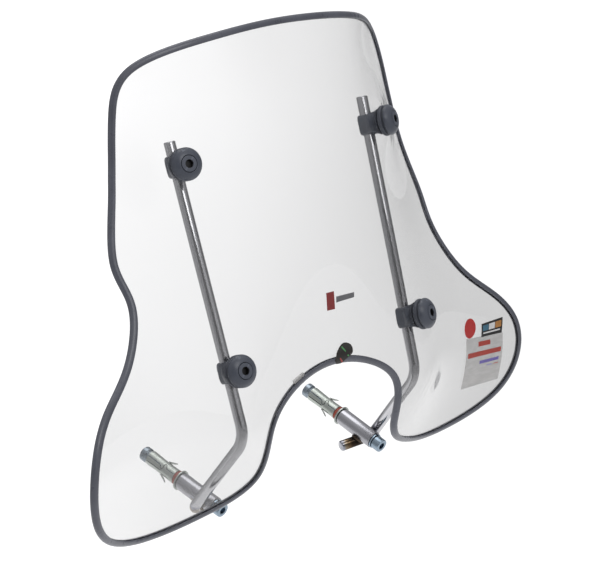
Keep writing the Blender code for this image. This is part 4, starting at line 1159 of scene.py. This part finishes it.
# ---- stage ----
def build_stage():
    """Pale floor whose own glow fades out away from the far side."""
    z, w = cad_lo.z - FLOOR_DROP, FLOOR_HALF
    v = [(-w, -w, z), (w, -w, z), (w, w, z), (-w, w, z)]
    s = Nodes("floor_white", (0.62, 0.62, 0.62), 0.9)
    s.b.inputs["Specular IOR Level"].default_value = 0.0
    s.b.inputs["Emission Color"].default_value = (1, 1, 1, 1)
    along = s.measure("DOT_PRODUCT", FLOOR_AWAY)
    aside = s.measure("DOT_PRODUCT", (FLOOR_AWAY[1], -FLOOR_AWAY[0], 0.0))
    flare = s.calc("MULTIPLY_ADD", along, -0.13, s.calc("ABSOLUTE", aside))
    near = s.spread(along, 0.0, 1.0, -0.75, -0.05)
    flank = s.spread(flare, 1.0, 0.0, 0.36, 0.85)
    slope = s.spread(aside, 1.32, 1.0, -0.35, 0.15)
    far = s.spread(along, 0.92, 1.16, 0.6, 3.0)
    shaped = s.calc("MULTIPLY", s.calc("MULTIPLY", near, flank), s.calc("MULTIPLY", slope, far))
    s.link(s.spread(shaped, EDGE_GLOW, GLOW * 2, 0.0, 2.0), s.b.inputs["Emission Strength"])
    s.bump(s.noise(3.0, 2.0), 0.0005, 0.1)
    piece("floor", v, [(0, 1, 2, 3)], s.m, None)


def soft_light(name, at, size, power):
    data = bpy.data.lights.new(name, "AREA")
    data.shape = "RECTANGLE"
    data.size, data.size_y = size
    data.energy = power
    ob = add_object(name, data)
    ob.location = at
    ob.rotation_mode = "QUATERNION"
    ob.rotation_quaternion = (Vector(LAMP_TARGET) - Vector(at)).to_track_quat("-Z", "Y")


def build_world():
    """Studio surround: dark behind the viewer, bright cards to each side."""
    w = bpy.data.worlds.new("studio")
    bpy.context.scene.world = w
    w.use_nodes = True
    bg = w.node_tree.nodes["Background"]
    new, link = w.node_tree.nodes.new, w.node_tree.links.new
    co = new("ShaderNodeTexCoord").outputs["Generated"]
    turn = new("ShaderNodeMapping")
    turn.vector_type = "POINT"
    turn.inputs["Rotation"].default_value = (0.0, 0.0, SURROUND_TURN)
    link(co, turn.inputs["Vector"])
    wheel = new("ShaderNodeTexGradient")
    wheel.gradient_type = "RADIAL"
    link(turn.outputs["Vector"], wheel.inputs["Vector"])
    ramp = new("ShaderNodeValToRGB")
    set_stops(ramp.color_ramp, [(deg / 360.0, (v, v, v * 1.02)) for deg, v in SURROUND])
    link(wheel.outputs["Fac"], ramp.inputs["Fac"])
    split = new("ShaderNodeSeparateXYZ")
    link(co, split.inputs[0])
    rise = new("ShaderNodeMapRange")
    rise.inputs["From Min"].default_value = 0.45
    rise.inputs["From Max"].default_value = 0.85
    link(split.outputs["Z"], rise.inputs["Value"])
    mix = new("ShaderNodeMix")
    mix.data_type = "RGBA"
    link(rise.outputs["Result"], mix.inputs[0])
    link(ramp.outputs["Color"], mix.inputs[6])
    mix.inputs[7].default_value = (*CEILING, 1.0)
    link(mix.outputs[2], bg.inputs["Color"])
    bg.inputs["Strength"].default_value = 1.0


def build_camera():
    data = bpy.data.cameras.new("camera")
    data.sensor_width, data.lens, data.clip_end = 36.0, LENS_MM, 50.0
    ob = add_object("camera", data)
    right, back = Vector(CAMERA_RIGHT).normalized(), Vector(CAMERA_BACK).normalized()
    ob.matrix_world = placed(right, back.cross(right).normalized(), back, CAMERA_AT)
    bpy.context.scene.camera = ob


def main():
    build_camera()
    build_world()
    build_stage()
    for lamp in LAMPS:
        soft_light(*lamp)
    build_screen()
    build_trim()
    for side, tag in SIDES:
        build_rod(side, tag)
        build_weld(side, tag)
        build_mount(side, tag)
        for row, z, turn in CLAMPS:
            build_clamp(side, row, z, turn)
    build_labels()
    build_tag()
    bpy.context.scene.view_settings.view_transform = "Standard"


main()
